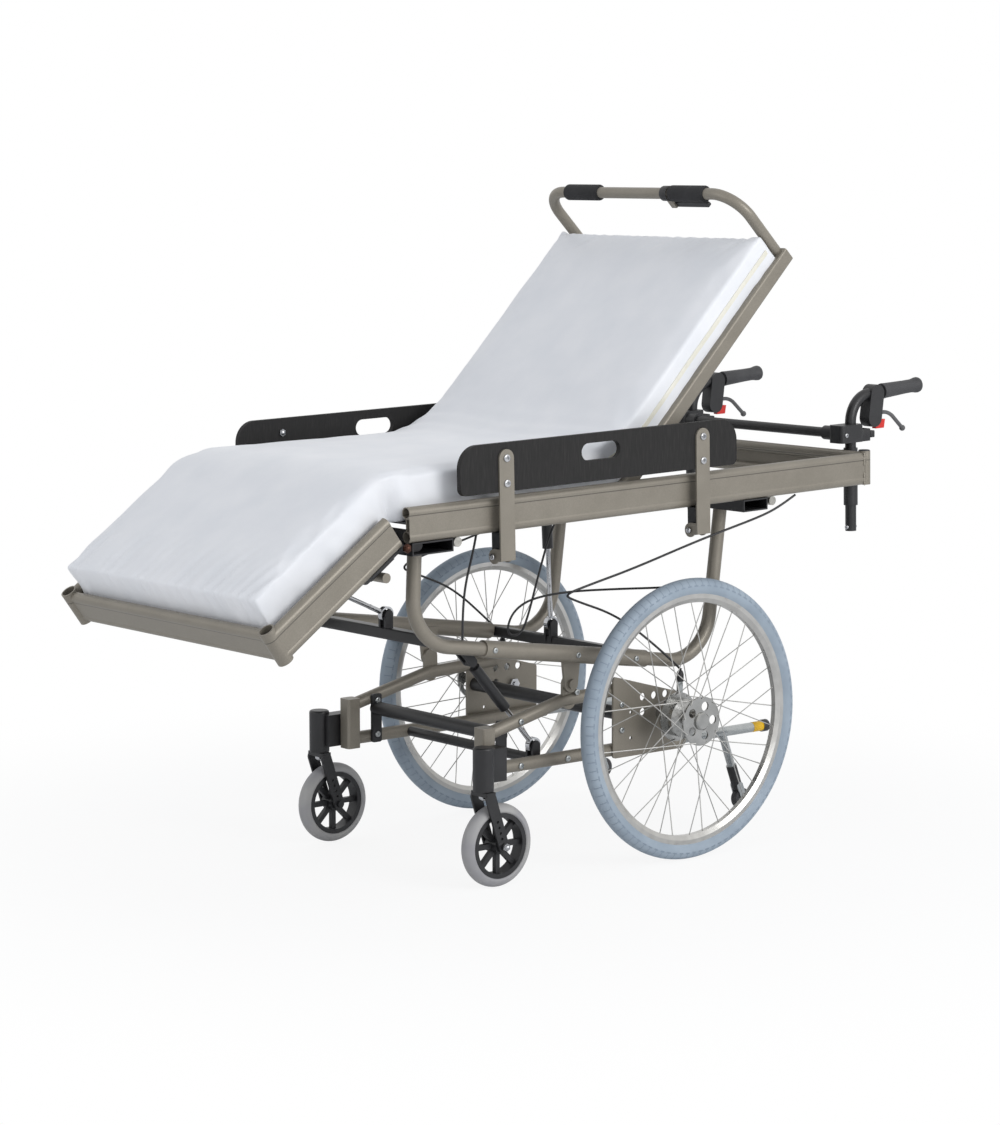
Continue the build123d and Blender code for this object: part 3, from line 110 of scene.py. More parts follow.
def add(tree, kind, inputs, **settings):
    """Add a node; an input is a value, or a socket to link from."""
    node = tree.nodes.new(kind)
    for key, value in settings.items():
        setattr(node, key, value)
    for key, value in inputs.items():
        if isinstance(value, bpy.types.NodeSocket):
            tree.links.new(value, node.inputs[key])
        else:
            node.inputs[key].default_value = value
    return node


def per_metre(size_mm):
    """Texture scale that gives a pattern about this size."""
    return 1000 / size_mm


def new_finish(name):
    """Empty material with its shader, and the tree they sit in."""
    material = bpy.data.materials.new(name)
    material.use_nodes = True
    tree = material.node_tree
    return material, tree, tree.nodes["Principled BSDF"]


def object_places(tree):
    """Places on the piece itself, so that a pattern moves with it."""
    return add(tree, "ShaderNodeTexCoord", {}).outputs["Object"]


def calc(tree, operation, *values):
    """Result of a sum on numbers or sockets."""
    return add(tree, "ShaderNodeMath", dict(enumerate(values)), operation=operation).outputs["Value"]


def vector_calc(tree, operation, result, *values):
    """Named result of a sum on vectors."""
    return add(tree, "ShaderNodeVectorMath", dict(enumerate(values)), operation=operation).outputs[result]


def cloudy(tree, where, size_mm, detail):
    """Noise with patches of about this size."""
    inputs = {"Vector": where, "Scale": per_metre(size_mm), "Detail": detail}
    return add(tree, "ShaderNodeTexNoise", inputs).outputs["Fac"]


def mixed(tree, factor, first, second, blend="MIX"):
    """Two colours put together."""
    inputs = {"Factor": factor, 6: first, 7: second}
    return add(tree, "ShaderNodeMix", inputs, data_type="RGBA", blend_type=blend).outputs[2]


def raised(tree, height, strength, distance, **settings):
    """Bump node for a relief of this height."""
    inputs = {"Height": height, "Strength": strength, "Distance": distance}
    return add(tree, "ShaderNodeBump", inputs, **settings)


def ramp(tree, factor, stops):
    """Colour ramp between positions and colours."""
    node = add(tree, "ShaderNodeValToRGB", {"Fac": factor})
    while len(node.color_ramp.elements) < len(stops):
        node.color_ramp.elements.new(0.5)
    for element, (place, colour) in zip(node.color_ramp.elements, stops):
        element.position = place
        element.color = colour
    return node.outputs["Color"]


def surface(tree, shader, colour, gloss, relief):
    """Link colour, roughness and relief to a shader."""
    tree.links.new(colour, shader.inputs["Base Color"])
    tree.links.new(gloss, shader.inputs["Roughness"])
    tree.links.new(relief.outputs["Normal"], shader.inputs["Normal"])


# %% [markdown]
# Painted metal: powder coat on aluminium tube. The cured powder leaves a faint orange peel a few
# millimetres wide and a slightly uneven gloss. The champagne paint has metal flake in it, so it is
# part metallic; the black one is plain.

# %% Paint
TONE_MM, FLAKE_MM, PEEL_MM = 60, 1.6, 2.4


def powder_coat(name, light, dark, metallic, rough):
    """Powder-coated tube: two close tones, orange peel and uneven gloss."""
    material, tree, shader = new_finish(name)
    where = object_places(tree)
    cloud = cloudy(tree, where, TONE_MM, 3.0)
    tone = ramp(tree, cloud, [(0.35, linear(dark)), (0.65, linear(light))])
    speck = ramp(tree, cloudy(tree, where, FLAKE_MM, 1.0), [(0.4, grey(0.93)), (0.62, grey(1.05))])
    gloss = ramp(tree, cloud, [(0.3, grey(rough - 0.02)), (0.7, grey(rough + 0.03))])
    peel = raised(tree, cloudy(tree, where, PEEL_MM, 2.0), 0.12, 0.0004)
    surface(tree, shader, mixed(tree, 1.0, tone, speck, "MULTIPLY"), gloss, peel)
    shader.inputs["Metallic"].default_value = metallic
    return material


champagne_paint = powder_coat("champagne_powder_coat", "#898378", "#847E73", 0.3, 0.4)
black_paint = powder_coat("black_powder_coat", "#232325", "#1A1A1C", 0.0, 0.4)
print("paint", champagne_paint.name, black_paint.name)

# %% [markdown]
# Bare metals. Drawn aluminium keeps fine lines along its length, zinc plate is slightly blotchy and
# bluish, chromed rods are nearly a mirror, and the hub is cast and then turned, so its marks are rings.

# %% Bare metal
def bare_metal(name, light, dark, rough, grain_mm, stretch=(1, 1, 1), bump_height=0.0002):
    """Uncoated metal with a stretched grain in colour, gloss and height."""
    material, tree, shader = new_finish(name)
    along = add(tree, "ShaderNodeMapping", {"Vector": object_places(tree), "Scale": stretch})
    grain = cloudy(tree, along.outputs["Vector"], grain_mm, 4.0)
    tone = ramp(tree, grain, [(0.3, linear(dark)), (0.7, linear(light))])
    gloss = ramp(tree, grain, [(0.3, grey(rough - 0.06)), (0.7, grey(rough + 0.06))])
    surface(tree, shader, tone, gloss, raised(tree, grain, 0.15, bump_height))
    shader.inputs["Metallic"].default_value = 1.0
    return material


drawn_aluminium = bare_metal("drawn_aluminium", "#BDBBB5", "#A5A39C", 0.36, 6, (1, 0.1, 1))
zinc_plate = bare_metal("zinc_plated_steel", "#B8BBBB", "#A3A7A8", 0.28, 24, (1, 1, 1), 0.00006)
chromed_steel = bare_metal("chromed_steel", "#C6C7C9", "#B0B1B4", 0.14, 30)
anodised_rim = bare_metal("anodised_rim", "#C2C1BE", "#B5B4B1", 0.32, 24, (1, 1, 1), 0.00004)
turned_hub = bare_metal("turned_cast_aluminium", "#ACACAA", "#9A9A98", 0.2, 26, (1, 5, 1), 0.00004)
copper_bolt = bare_metal("copper_plated_steel", "#5E4238", "#48322A", 0.4, 8)
print("metals", zinc_plate.name, turned_hub.name)

# %% [markdown]
# Rubbers and plastics. They don't shine like paint: the tyre is solid polyurethane with a dusty
# bloom, the casters are grey elastomer, the grips are dark rubber, and the foam has open pores.

# %% Rubber and plastic
BLOOM_MM = 70


def moulded(name, light, dark, rough, grain_mm, bump_height, bump=0.3):
    """Moulded rubber or plastic: slow change of tone and a fine moulded grain."""
    material, tree, shader = new_finish(name)
    where = object_places(tree)
    tone = ramp(tree, cloudy(tree, where, BLOOM_MM, 4.0), [(0.35, linear(dark)), (0.68, linear(light))])
    grain = cloudy(tree, where, grain_mm, 2.0)
    gloss = ramp(tree, grain, [(0.3, grey(rough - 0.06)), (0.7, grey(rough + 0.06))])
    surface(tree, shader, tone, gloss, raised(tree, grain, bump, bump_height))
    return material


tyre_polyurethane = moulded("blue_grey_polyurethane", "#9EABB7", "#8E9BA8", 0.62, 1.2, 0.0003)
caster_elastomer = moulded("grey_elastomer", "#A7A6A4", "#98979A", 0.55, 1.2, 0.0003)
black_nylon = moulded("black_glass_filled_nylon", "#28282A", "#1E1E20", 0.48, 1.0, 0.0002)
grip_rubber = moulded("dark_grip_rubber", "#434345", "#363638", 0.6, 1.6, 0.0005)
grip_foam = moulded("black_foam_sleeve", "#2C2C2E", "#1E1E20", 0.85, 1.8, 0.0012, bump=0.8)
lever_plastic = moulded("grey_lever_plastic", "#5E5E5F", "#4E4E50", 0.45, 1.2, 0.0002)
trigger_plastic = moulded("red_abs", "#E0352B", "#CC261E", 0.32, 1.0, 0.0001)
yellow_tape = moulded("yellow_marker_band", "#F2C21C", "#E0AE12", 0.45, 1.0, 0.0001)
zip_nylon = moulded("white_zip_nylon", "#E9E6DA", "#DCD9CA", 0.5, 1.0, 0.0001)
cable_sheath = moulded("black_cable_sheath", "#2A2A2C", "#202022", 0.45, 1.0, 0.0001)
deck_board = moulded("grey_deck_board", "#58585A", "#48484A", 0.7, 1.4, 0.0003)
print("plastics", grip_rubber.name)

# %% [markdown]
# Tyre tread. The shoulder of the tyre is cut by a row of T-shaped grooves: a stem that runs in from
# the edge and a bar across its inner end. They follow the wheel's angle and radius. The grooves are sunk by
# bump and painted a darker blue-grey as painted shade.

# %% Tread
TREADS = 96
TREAD_FROM, TREAD_TO, STEM_TO = 0.2885, 0.2915, 0.3035
STEM_SHARE, BAR_SHARE = 0.05, 0.3


def inside(tree, value, low, high):
    """1 where a value lies between two limits."""
    above, below = calc(tree, "GREATER_THAN", value, low), calc(tree, "LESS_THAN", value, high)
    return calc(tree, "MULTIPLY", above, below)


def tread_rubber(name, centre):
    """Blue-grey polyurethane with T-shaped shoulder grooves round a wheel centre, painted darker in the
    grooves as painted shade.
    """
    material = tyre_polyurethane.copy()
    material.name = name
    tree = material.node_tree
    inputs = tree.nodes["Principled BSDF"].inputs
    hub = vector_calc(tree, "SUBTRACT", "Vector", object_places(tree), centre)
    axes = add(tree, "ShaderNodeSeparateXYZ", {"Vector": hub}).outputs
    flat = add(tree, "ShaderNodeCombineXYZ", {"X": axes["X"], "Y": axes["Z"]})
    radius = vector_calc(tree, "LENGTH", "Value", flat.outputs["Vector"])
    angle = calc(tree, "ARCTAN2", axes["Z"], axes["X"])
    share = calc(tree, "PINGPONG", calc(tree, "MULTIPLY", angle, TREADS / (2 * pi)), 0.5)
    stem = calc(tree, "MULTIPLY", inside(tree, share, -1.0, STEM_SHARE),
                inside(tree, radius, TREAD_FROM, STEM_TO))
    bar = calc(tree, "MULTIPLY", inside(tree, share, -1.0, BAR_SHARE),
               inside(tree, radius, TREAD_FROM, TREAD_TO))
    groove = calc(tree, "MAXIMUM", stem, bar)
    tone = inputs["Base Color"].links[0].from_socket
    # The grooves get a darker blue-grey: painted shade inside them, on top of the sunk bump below.
    tree.links.new(mixed(tree, groove, tone, linear("#8592A0")), inputs["Base Color"])
    sunk = raised(tree, groove, 0.9, 0.0015, invert=True)
    tree.links.new(inputs["Normal"].links[0].from_socket, sunk.inputs["Normal"])
    tree.links.new(sunk.outputs["Normal"], inputs["Normal"])
    return material


# %% [markdown]
# Guard laminate: a dark board with a fine upright grain pressed in, like a kitchen front. The real
# streaks are under a millimetre wide; they are drawn about twice as coarse so they show.

# %% Guard laminate
STREAK_MM, STREAK_STRETCH = 2.2, (1.0, 1.0, 0.08)


def board_laminate():
    """Dark laminate with fine streaks."""
    material, tree, shader = new_finish("charcoal_laminate")
    along = add(tree, "ShaderNodeMapping", {"Vector": object_places(tree), "Scale": STREAK_STRETCH})
    streak = cloudy(tree, along.outputs["Vector"], STREAK_MM, 5.0)
    tone = ramp(tree, streak, [(0.3, linear("#1E1E1D")), (0.55, linear("#272626")), (0.8, linear("#343231"))])
    gloss = ramp(tree, streak, [(0.3, grey(0.62)), (0.7, grey(0.74))])
    surface(tree, shader, tone, gloss, raised(tree, streak, 0.25, 0.0003))
    shader.inputs["Specular IOR Level"].default_value = 0.25
    return material


guard_laminate = board_laminate()
print("laminate", guard_laminate.name)

# %% [markdown]
# Mattress cover: a white coated polyester. Close up it is a plain weave with threads under half a
# millimetre; the weave is drawn at 1.6 mm so that a hint of it survives in the picture. A soft sheen
# stands for the coating.

# %% Cover cloth
THREAD_MM, WAVE_TURN = 1.6, 6.283
COVER_CLOUD_MM, CREASE_MM = 90, 28


def cover_cloth():
    """White coated polyester with a plain weave and a soft sheen."""
    material, tree, shader = new_finish("white_coated_polyester")
    where = object_places(tree)
    threads = {"Vector": where, "Scale": per_metre(THREAD_MM) / WAVE_TURN}
    warp, weft = (add(tree, "ShaderNodeTexWave", threads, bands_direction=way).outputs["Fac"] for way in "XY")
    cloud = cloudy(tree, where, COVER_CLOUD_MM, 4.0)
    tone = ramp(tree, cloud, [(0.3, linear("#E2E4E8")), (0.7, linear("#E9EAED"))])
    tree.links.new(tone, shader.inputs["Base Color"])
    soft = raised(tree, cloudy(tree, where, CREASE_MM, 3.0), 0.12, 0.0025)
    fine = raised(tree, calc(tree, "MULTIPLY", warp, weft), 0.12, 0.0003)
    tree.links.new(soft.outputs["Normal"], fine.inputs["Normal"])
    tree.links.new(fine.outputs["Normal"], shader.inputs["Normal"])
    for setting, value in (("Roughness", 0.5), ("Sheen Weight", 0.25), ("Sheen Roughness", 0.45)):
        shader.inputs[setting].default_value = value
    return material


cover_polyester = cover_cloth()
print("cloth", cover_polyester.name)

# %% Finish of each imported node
FINISH_OF_SLOT = {
    "frame_paint": champagne_paint, "black_paint": black_paint, "bare_aluminium": drawn_aluminium,
    "zinc": zinc_plate, "polished_steel": chromed_steel, "rim_metal": anodised_rim,
    "hub_metal": turned_hub, "tyre_rubber": tyre_polyurethane, "caster_rubber": caster_elastomer,
    "black_plastic": black_nylon, "grip_rubber": grip_rubber, "grip_foam": grip_foam,
    "cover_fabric": cover_polyester, "deck_board": deck_board, "guard_laminate": guard_laminate,
    "grey_plastic": lever_plastic, "red_plastic": trigger_plastic,
}
for subpart in frame["record"]["subparts"]:
    node = bpy.data.objects[subpart["node"]]
    node.data.materials.clear()
    node.data.materials.append(FINISH_OF_SLOT[subpart["material_slot"]])
for side in ("left", "right"):
    low, high = (Vector(corner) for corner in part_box(side + "_tyre"))
    bpy.data.objects[side + "_tyre"].data.materials[0] = tread_rubber(side + "_tyre_rubber", (low + high) / 2)
print("tread cut into both tyres")


# %% [markdown]
# The mattress is one foam slab in a loose cover. It lies on three hinged decks, so it bends at the
# knee and at the hip. It is modelled flat, as it leaves the factory: a block with rounded edges, cut
# into a fine net. The net is then laid along the bent line of the decks and inflated as cloth.

# %% Line that the mattress follows
JOINT = {j["name"]: j for j in frame["record"]["behaviour"]["joints"]}
KNEE = Vector(JOINT["leg_raise"]["pos_m"])
HIP = Vector(JOINT["back_recline"]["pos_m"])
BED_TILT, BACK_ANGLE, LEG_ANGLE = radians(1.4), radians(45.5), radians(35.5)
LEG_DECK_UP, BED_DECK_DOWN, BACK_DECK_UP = 0.0483, 0.0117, 0.0083
PAD_THICK = 0.094
PAD_HALF = 0.333
SEAT_WIDEN = 0.010
RAIL_TUCK = 0.005
FOOT_REACH, HEAD_REACH = 0.332, 0.632
KNEE_ROUND, HIP_ROUND = 0.045, 0.135


def side_point(place, angle, along, up):
    """Point in the side view of a section, measured along it and up from it."""
    x = place.x + along * cos(angle) - up * sin(angle)
    return Vector((x, 0, place.z + along * sin(angle) + up * cos(angle)))


def crossing(p, p_angle, q, q_angle):
    """Where two lines of the side view cross."""
    a, b = (Vector((cos(t), 0, sin(t))) for t in (p_angle, q_angle))
    gap = q - p
    return p + a * ((gap.x * b.z - gap.z * b.x) / (a.x * b.z - a.z * b.x))


half_thick = PAD_THICK / 2
foot_end = side_point(KNEE, LEG_ANGLE, -FOOT_REACH, LEG_DECK_UP + half_thick)
bed_mid = side_point(HIP, BED_TILT, -0.3, half_thick - BED_DECK_DOWN)
head_end = side_point(HIP, BACK_ANGLE, HEAD_REACH, BACK_DECK_UP + half_thick)
knee_corner = crossing(foot_end, LEG_ANGLE, bed_mid, BED_TILT)
hip_corner = crossing(bed_mid, BED_TILT, head_end, BACK_ANGLE)


def rounded_line(points, rounds, steps=24):
    """Line through points with eased corners, as a list of close points."""
    line = [points[0]]
    for before, corner, after, reach in zip(points, points[1:], points[2:], rounds):
        enter = corner + (before - corner).normalized() * reach
        leave = corner + (after - corner).normalized() * reach
        for i in range(steps + 1):
            t = i / steps
            line.append(enter.lerp(corner, t).lerp(corner.lerp(leave, t), t))
    return line + [points[-1]]


pad_line = rounded_line([foot_end, knee_corner, hip_corner, head_end], [KNEE_ROUND, HIP_ROUND])
line_at = [0.0]
for a, b in zip(pad_line, pad_line[1:]):
    line_at.append(line_at[-1] + (b - a).length)
PAD_LONG = line_at[-1]
knee_at = (knee_corner - foot_end).length - KNEE_ROUND * 0.06
hip_at = PAD_LONG - (head_end - hip_corner).length


def on_line(distance):
    """Point and upward normal of the mattress line at a distance from the foot end."""
    i = max(0, min(len(line_at) - 2, sum(1 for d in line_at if d <= distance) - 1))
    run = pad_line[i + 1] - pad_line[i]
    spot = pad_line[i] + run * ((distance - line_at[i]) / run.length)
    return spot, Vector((-run.z, 0, run.x)).normalized()


print("mattress line", round(PAD_LONG, 3), "knee at", round(knee_at, 3), "hip at", round(hip_at, 3))

# %% Flat mattress block
NET_LONG, NET_WIDE = 0.0095, 0.0085
EDGE_ROUND = 0.008


def only(obj):
    """Make obj the one selected and active object."""
    bpy.ops.object.select_all(action="DESELECT")
    obj.select_set(True)
    bpy.context.view_layer.objects.active = obj


def apply_modifier(obj, kind, **settings):
    """Add a modifier with these settings and apply it."""
    only(obj)
    modifier = obj.modifiers.new(kind.lower(), kind)
    for key, value in settings.items():
        setattr(modifier, key, value)
    bpy.ops.object.modifier_apply(modifier=modifier.name)


def cut_net(obj, axis, least, cuts):
    """Cut every long edge along one axis into equal parts."""
    bpy.ops.object.mode_set(mode="EDIT")
    bpy.ops.mesh.select_all(action="DESELECT")
    shape = bmesh.from_edit_mesh(obj.data)
    for edge in shape.edges:
        run = edge.verts[1].co - edge.verts[0].co
        edge.select = abs(run[axis]) > least
    bmesh.update_edit_mesh(obj.data)
    bpy.ops.mesh.subdivide(number_cuts=cuts)
    bpy.ops.object.mode_set(mode="OBJECT")


def flat_pad():
    """Rounded block as long as the mattress line, cut into an even net."""
    bpy.ops.mesh.primitive_cube_add(size=1, location=(PAD_LONG / 2, 0, 0),
                                    scale=(PAD_LONG, 2 * PAD_HALF, PAD_THICK))
    pad = bpy.context.object
    bpy.ops.object.transform_apply(location=True, rotation=True, scale=True)
    bpy.ops.object.mode_set(mode="EDIT")
    bpy.ops.mesh.select_all(action="SELECT")
    bpy.ops.mesh.bevel(offset=EDGE_ROUND, segments=3)
    bpy.ops.object.mode_set(mode="OBJECT")
    cut_net(pad, 0, PAD_LONG / 2, round(PAD_LONG / NET_LONG))
    cut_net(pad, 1, PAD_HALF, round(2 * PAD_HALF / NET_WIDE))
    cut_net(pad, 2, PAD_THICK / 3, 3)
    return pad


mattress = flat_pad()
mattress.name = "mattress"
flat_places = [v.co.copy() for v in mattress.data.vertices]
print("mattress net", len(flat_places), "points")

# %% [markdown]
# Bending the net along the decks. Where the cover has spare cloth it bunches: gathers along the two end
# seams, soft folds in the hollow of the hip, and a V-shaped tuck at the knee. They are written as
# small moves that fade with distance, so that the cloth step below rounds them off.

# %% Bend and fold
CROWN, HIP_WAVE, HIP_PITCH, HIP_BUNCH = 0.006, 0.0032, 0.062, 0.006
GATHER_PITCH, FOOT_GATHER, HEAD_GATHER, END_GATHER = 0.036, 0.0062, 0.0034, 0.0036
FOOT_SLANT, HEAD_SLANT, EULER = 0.35, 0.6, 2.718
KNEE_TUCK, KNEE_PLEAT, PLEAT_PITCH, SIDE_SLACK = 0.024, 0.004, 0.034, 0.003


def fade(distance, reach):
    """1 at zero, falling smoothly with distance."""
    return EULER ** (-((distance / reach) ** 2))


def gathers(y):
    """Uneven ripple across an end of the cover."""
    wander = noise.noise(Vector((y * 9, 3.1, 0.4)))
    crest = 1 - 2 * abs(sin(y * pi / GATHER_PITCH + 2 * wander)) ** 0.7
    return crest * (0.6 + 0.9 * noise.noise(Vector((y * 17, 7.7, 1.3))))


def top_move(x, y, top):
    """How far the top of the cover stands up, from its crown, its gathers and the waves in the hip."""
    crown = CROWN * (1 - (abs(y) / PAD_HALF) ** 4) * (1 - fade(x, 0.05)) * (1 - fade(PAD_LONG - x, 0.05))
    foot_reach = 0.085 + 0.05 * noise.noise(Vector((y * 13, 0, 5)))
    foot = FOOT_GATHER * fade(x - 0.02, foot_reach) * gathers(y + FOOT_SLANT * x)
    head = HEAD_GATHER * fade(PAD_LONG - x - 0.02, 0.06) * gathers(y - HEAD_SLANT * (PAD_LONG - x))
    phase = (x - hip_at) * 2 * pi / HIP_PITCH + 2.2 * noise.noise(Vector((y * 4, 1.7, 0)))
    hip = HIP_WAVE * fade(x - hip_at, 0.085) * sin(phase) * (0.6 + noise.noise(Vector((y * 3, x * 5, 2))))
    return top * (crown + foot + head + hip)


def side_move(x, z, outward):
    """How far a side of the cover stands out, from its bunches, its pleats, the knee tuck and the rail."""
    bunch = HIP_BUNCH * fade(x - hip_at, 0.13) * noise.noise(Vector((x * 26, z * 20, outward * 3)))
    tuck = fade(x - knee_at - 0.012, 0.011 + 0.008 * (z + half_thick) / PAD_THICK)
    tuck *= KNEE_TUCK * (1 - 0.5 * max(0.0, z / half_thick))
    pleat = sin((x - 0.7 * z) * 2 * pi / PLEAT_PITCH + 2 * noise.noise(Vector((x * 20, 4, outward))))
    pleat *= KNEE_PLEAT * fade(x - knee_at + 0.05, 0.05) * (0.35 - 0.5 * z / half_thick)
    slack = SIDE_SLACK * noise.noise(Vector((x * 9, z * 12, outward))) * max(0.0, 0.5 + z / PAD_THICK)
    rail = RAIL_TUCK * max(0.0, min(1.0, 0.5 - 2.4 * z / PAD_THICK))
    return outward * (bunch + pleat - tuck + slack - rail)


def fold_move(flat):
    """How far the cover stands off its plain block at a flat place, as (along, across, up)."""
    x, y, z = flat
    top = max(0.0, z / half_thick)
    seat_share = max(0.0, min(1.0, (hip_at - 0.06 - x) / 0.16))
    across = y / PAD_HALF * SEAT_WIDEN * seat_share * seat_share * (3 - 2 * seat_share)
    along = -END_GATHER * fade(x, 0.02) * max(0.0, 0.3 + top) * gathers(y + FOOT_SLANT * x)
    if abs(y) / PAD_HALF > 0.9:
        across += side_move(x, z, 1 if y > 0 else -1)
    return Vector((along, across, top_move(x, y, top)))


def laid(flat, lift=Vector((0, 0, 0))):
    """Flat place carried onto the bent mattress line."""
    spot, normal = on_line(flat.x + lift.x)
    return spot + normal * (flat.z + lift.z) + Vector((0, flat.y + lift.y, 0))


for vertex, flat in zip(mattress.data.vertices, flat_places):
    vertex.co = laid(flat, fold_move(flat))
mattress.data.update()
print("mattress laid on the decks")

# %% Inflate the cover as cloth
PUFF_FRAMES = 20
PUFF_CAP = 0.007
BASE_SHARE = -0.7


def puff(pad):
    """Pressurise the cover for a few frames, hold its base, and cap how far a point moves."""
    base = pad.vertex_groups.new(name="base")
    base.add([i for i, f in enumerate(flat_places) if f.z < BASE_SHARE * half_thick], 1.0, "REPLACE")
    before = [v.co.copy() for v in pad.data.vertices]
    only(pad)
    cloth = pad.modifiers.new("cover", "CLOTH")
    cloth.settings.quality = 6
    cloth.settings.mass = 0.25
    cloth.settings.tension_stiffness = 18
    cloth.settings.compression_stiffness = 12
    cloth.settings.bending_stiffness = 0.25
    cloth.settings.use_pressure = True
    cloth.settings.uniform_pressure_force = 2.0
    cloth.settings.shrink_min = -0.022
    cloth.settings.vertex_group_mass = base.name
    cloth.settings.effector_weights.gravity = 0
    cloth.collision_settings.use_collision = False
    for step in range(1, PUFF_FRAMES + 1):
        bpy.context.scene.frame_set(step)
    shaped = pad.evaluated_get(bpy.context.evaluated_depsgraph_get())
    after = [v.co.copy() for v in shaped.data.vertices]
    pad.modifiers.remove(cloth)
    bpy.context.scene.frame_set(1)
    pad.vertex_groups.remove(base)
    far = 0.0
    for vertex, old, new in zip(pad.data.vertices, before, after):
        move = new - old
        far = max(far, move.length)
        if move.length > PUFF_CAP:
            move *= PUFF_CAP / move.length
        vertex.co = old + move
    return far


print("cover moved up to", round(puff(mattress), 4))
apply_modifier(mattress, "SUBSURF", levels=1, render_levels=1)
bpy.ops.object.shade_smooth()
mattress.data.materials.append(cover_polyester)

# %% [markdown]
# The decks hinge under one slab, so the slab is parted in the middle of the seat, where nothing
# moves. The head half reaches from the seat to the back, the foot half from the seat to the leg rest.

# %% Part the mattress
part_at = (knee_at + hip_at) / 2
part_spot, part_up = on_line(part_at)
part_run = Vector((part_up.z, 0, -part_up.x))


def half_of(pad, name, keep_head):
    """One half of the mattress, closed at the parting."""
    only(pad)
    bpy.ops.object.duplicate()
    piece = bpy.context.object
    piece.name = name
    bpy.ops.object.mode_set(mode="EDIT")
    bpy.ops.mesh.select_all(action="SELECT")
    bpy.ops.mesh.bisect(plane_co=part_spot, plane_no=part_run, use_fill=True,
                        clear_inner=keep_head, clear_outer=not keep_head)
    bpy.ops.object.mode_set(mode="OBJECT")
    bpy.ops.object.shade_smooth_by_angle(angle=radians(50))
    return piece


head_half = half_of(mattress, "mattress_head_half", True)
foot_half = half_of(mattress, "mattress_foot_half", False)
bpy.data.objects.remove(mattress)
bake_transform(head_half)
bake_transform(foot_half)
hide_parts("seat_mattress", "back_mattress")
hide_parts("leg_mattress")
for piece in (head_half, foot_half):
    print(piece.name, len(piece.data.polygons), "faces")

# %% [markdown]
# The zip of the cover. It runs along the near side of the seat and the back, a little above the
# middle. Its tape is a narrow strip laid on the finished side of the mattress, found by rays, and its
# teeth are one small block copied along it.

# %% Zip
ZIP_UP = 0.008
ZIP_WIDE = 0.011
ZIP_STEPS = 150
TOOTH_PITCH = 0.0045
zip_from, zip_to = part_at + 0.015, PAD_LONG - 0.014
head_side = BVHTree.FromObject(head_half, bpy.context.evaluated_depsgraph_get())


def on_side(distance, up):
    """Point on the near side of the mattress, at a distance along it and a height from its middle."""
    spot, normal = on_line(distance)
    start = spot + normal * up + Vector((0, -2 * PAD_HALF, 0))
    hit = head_side.ray_cast(start, Vector((0, 1, 0)))[0]
    return hit + Vector((0, -0.0008, 0))


def copied(kind, name, places):
    """Copies of one modelled piece at their places, joined under a name."""
    twins = []
    for place in places:
        twin = kind.copy()
        twin.data = kind.data.copy()
        twin.data.transform(place)
        bpy.context.scene.collection.objects.link(twin)
        twins.append(twin)
    bpy.data.objects.remove(kind)
    only(twins[0])
    for twin in twins:
        twin.select_set(True)
    if len(twins) > 1:
        bpy.ops.object.join()
    twins[0].name = name
    return twins[0]


def zip_tape():
    """Strip of tape along the side."""
    bpy.ops.mesh.primitive_grid_add(x_subdivisions=ZIP_STEPS, y_subdivisions=4, size=1)
    tape = bpy.context.object
    tape.name = "cover_zip_tape"
    for vertex in tape.data.vertices:
        share, across = vertex.co.x + 0.5, vertex.co.y
        vertex.co = on_side(zip_from + share * (zip_to - zip_from), ZIP_UP + across * ZIP_WIDE)
    apply_modifier(tape, "SOLIDIFY", thickness=0.0012, offset=0)
    bpy.ops.object.shade_smooth_by_angle(angle=radians(40))
    return tape


def zip_teeth():
    """Row of teeth, one bevelled block copied along the tape."""
    bpy.ops.mesh.primitive_cube_add(size=1, scale=(0.0026, 0.0016, 0.005))
    tooth = bpy.context.object
    bpy.ops.object.transform_apply(scale=True)
    bpy.ops.object.mode_set(mode="EDIT")
    bpy.ops.mesh.select_all(action="SELECT")
    bpy.ops.mesh.bevel(offset=0.0004, segments=1)
    bpy.ops.object.mode_set(mode="OBJECT")
    places = []
    for i in range(int((zip_to - zip_from) / TOOTH_PITCH)):
        distance = zip_from + (i + 0.5) * TOOTH_PITCH
        normal = on_line(distance)[1]
        turn = Matrix.Rotation(atan2(-normal.x, normal.z), 4, Vector((0, -1, 0)))
        places.append(Matrix.Translation(on_side(distance, ZIP_UP)) @ turn)
    return copied(tooth, "cover_zip_teeth", places)


tape, teeth = zip_tape(), zip_teeth()
for piece in (tape, teeth):
    piece.data.materials.clear()
    piece.data.materials.append(zip_nylon)
    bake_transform(piece)
print("zip", len(teeth.data.polygons), "faces")

# %% [markdown]
# Screws, nuts and caps. Each kind is modelled once, standing on the origin, and copied to its places.
# The places are given from the rear axle, in millimetres, or along the bed frame, and each head faces
# the way its hole does. What is on the left side is there on the right side too.

# %% Hardware kinds
UP, NEAR, FAR = Vector((0, 0, 1)), Vector((0, -1, 0)), Vector((0, 1, 0))
AXLE_X = JOINT["left_wheel_spin"]["pos_m"][0]
BED_START_X, BED_START_Z = -780, 783
DOME_STEPS = ((0.2, 0.92), (0.18, 0.78), (0.12, 0.5))


def from_axle(x, y, z):
    """Place from millimetres behind the rear axle, to the right and above the floor."""
    return Vector((AXLE_X + x / 1000, y / 1000, z / 1000))


def on_bed(u, y, w):
    """Place from millimetres along the bed frame, to the right and up from its rails' middle."""
    x = BED_START_X + u * cos(BED_TILT) - w * sin(BED_TILT)
    return from_axle(x, y, BED_START_Z + u * sin(BED_TILT) + w * cos(BED_TILT))


def pick_facing(obj, least):
    """Select the upward faces of the edited mesh."""
    bpy.ops.mesh.select_all(action="DESELECT")
    shape = bmesh.from_edit_mesh(obj.data)
    for face in shape.faces:
        if face.normal.z > least:
            face.select_set(True)
    bmesh.update_edit_mesh(obj.data)


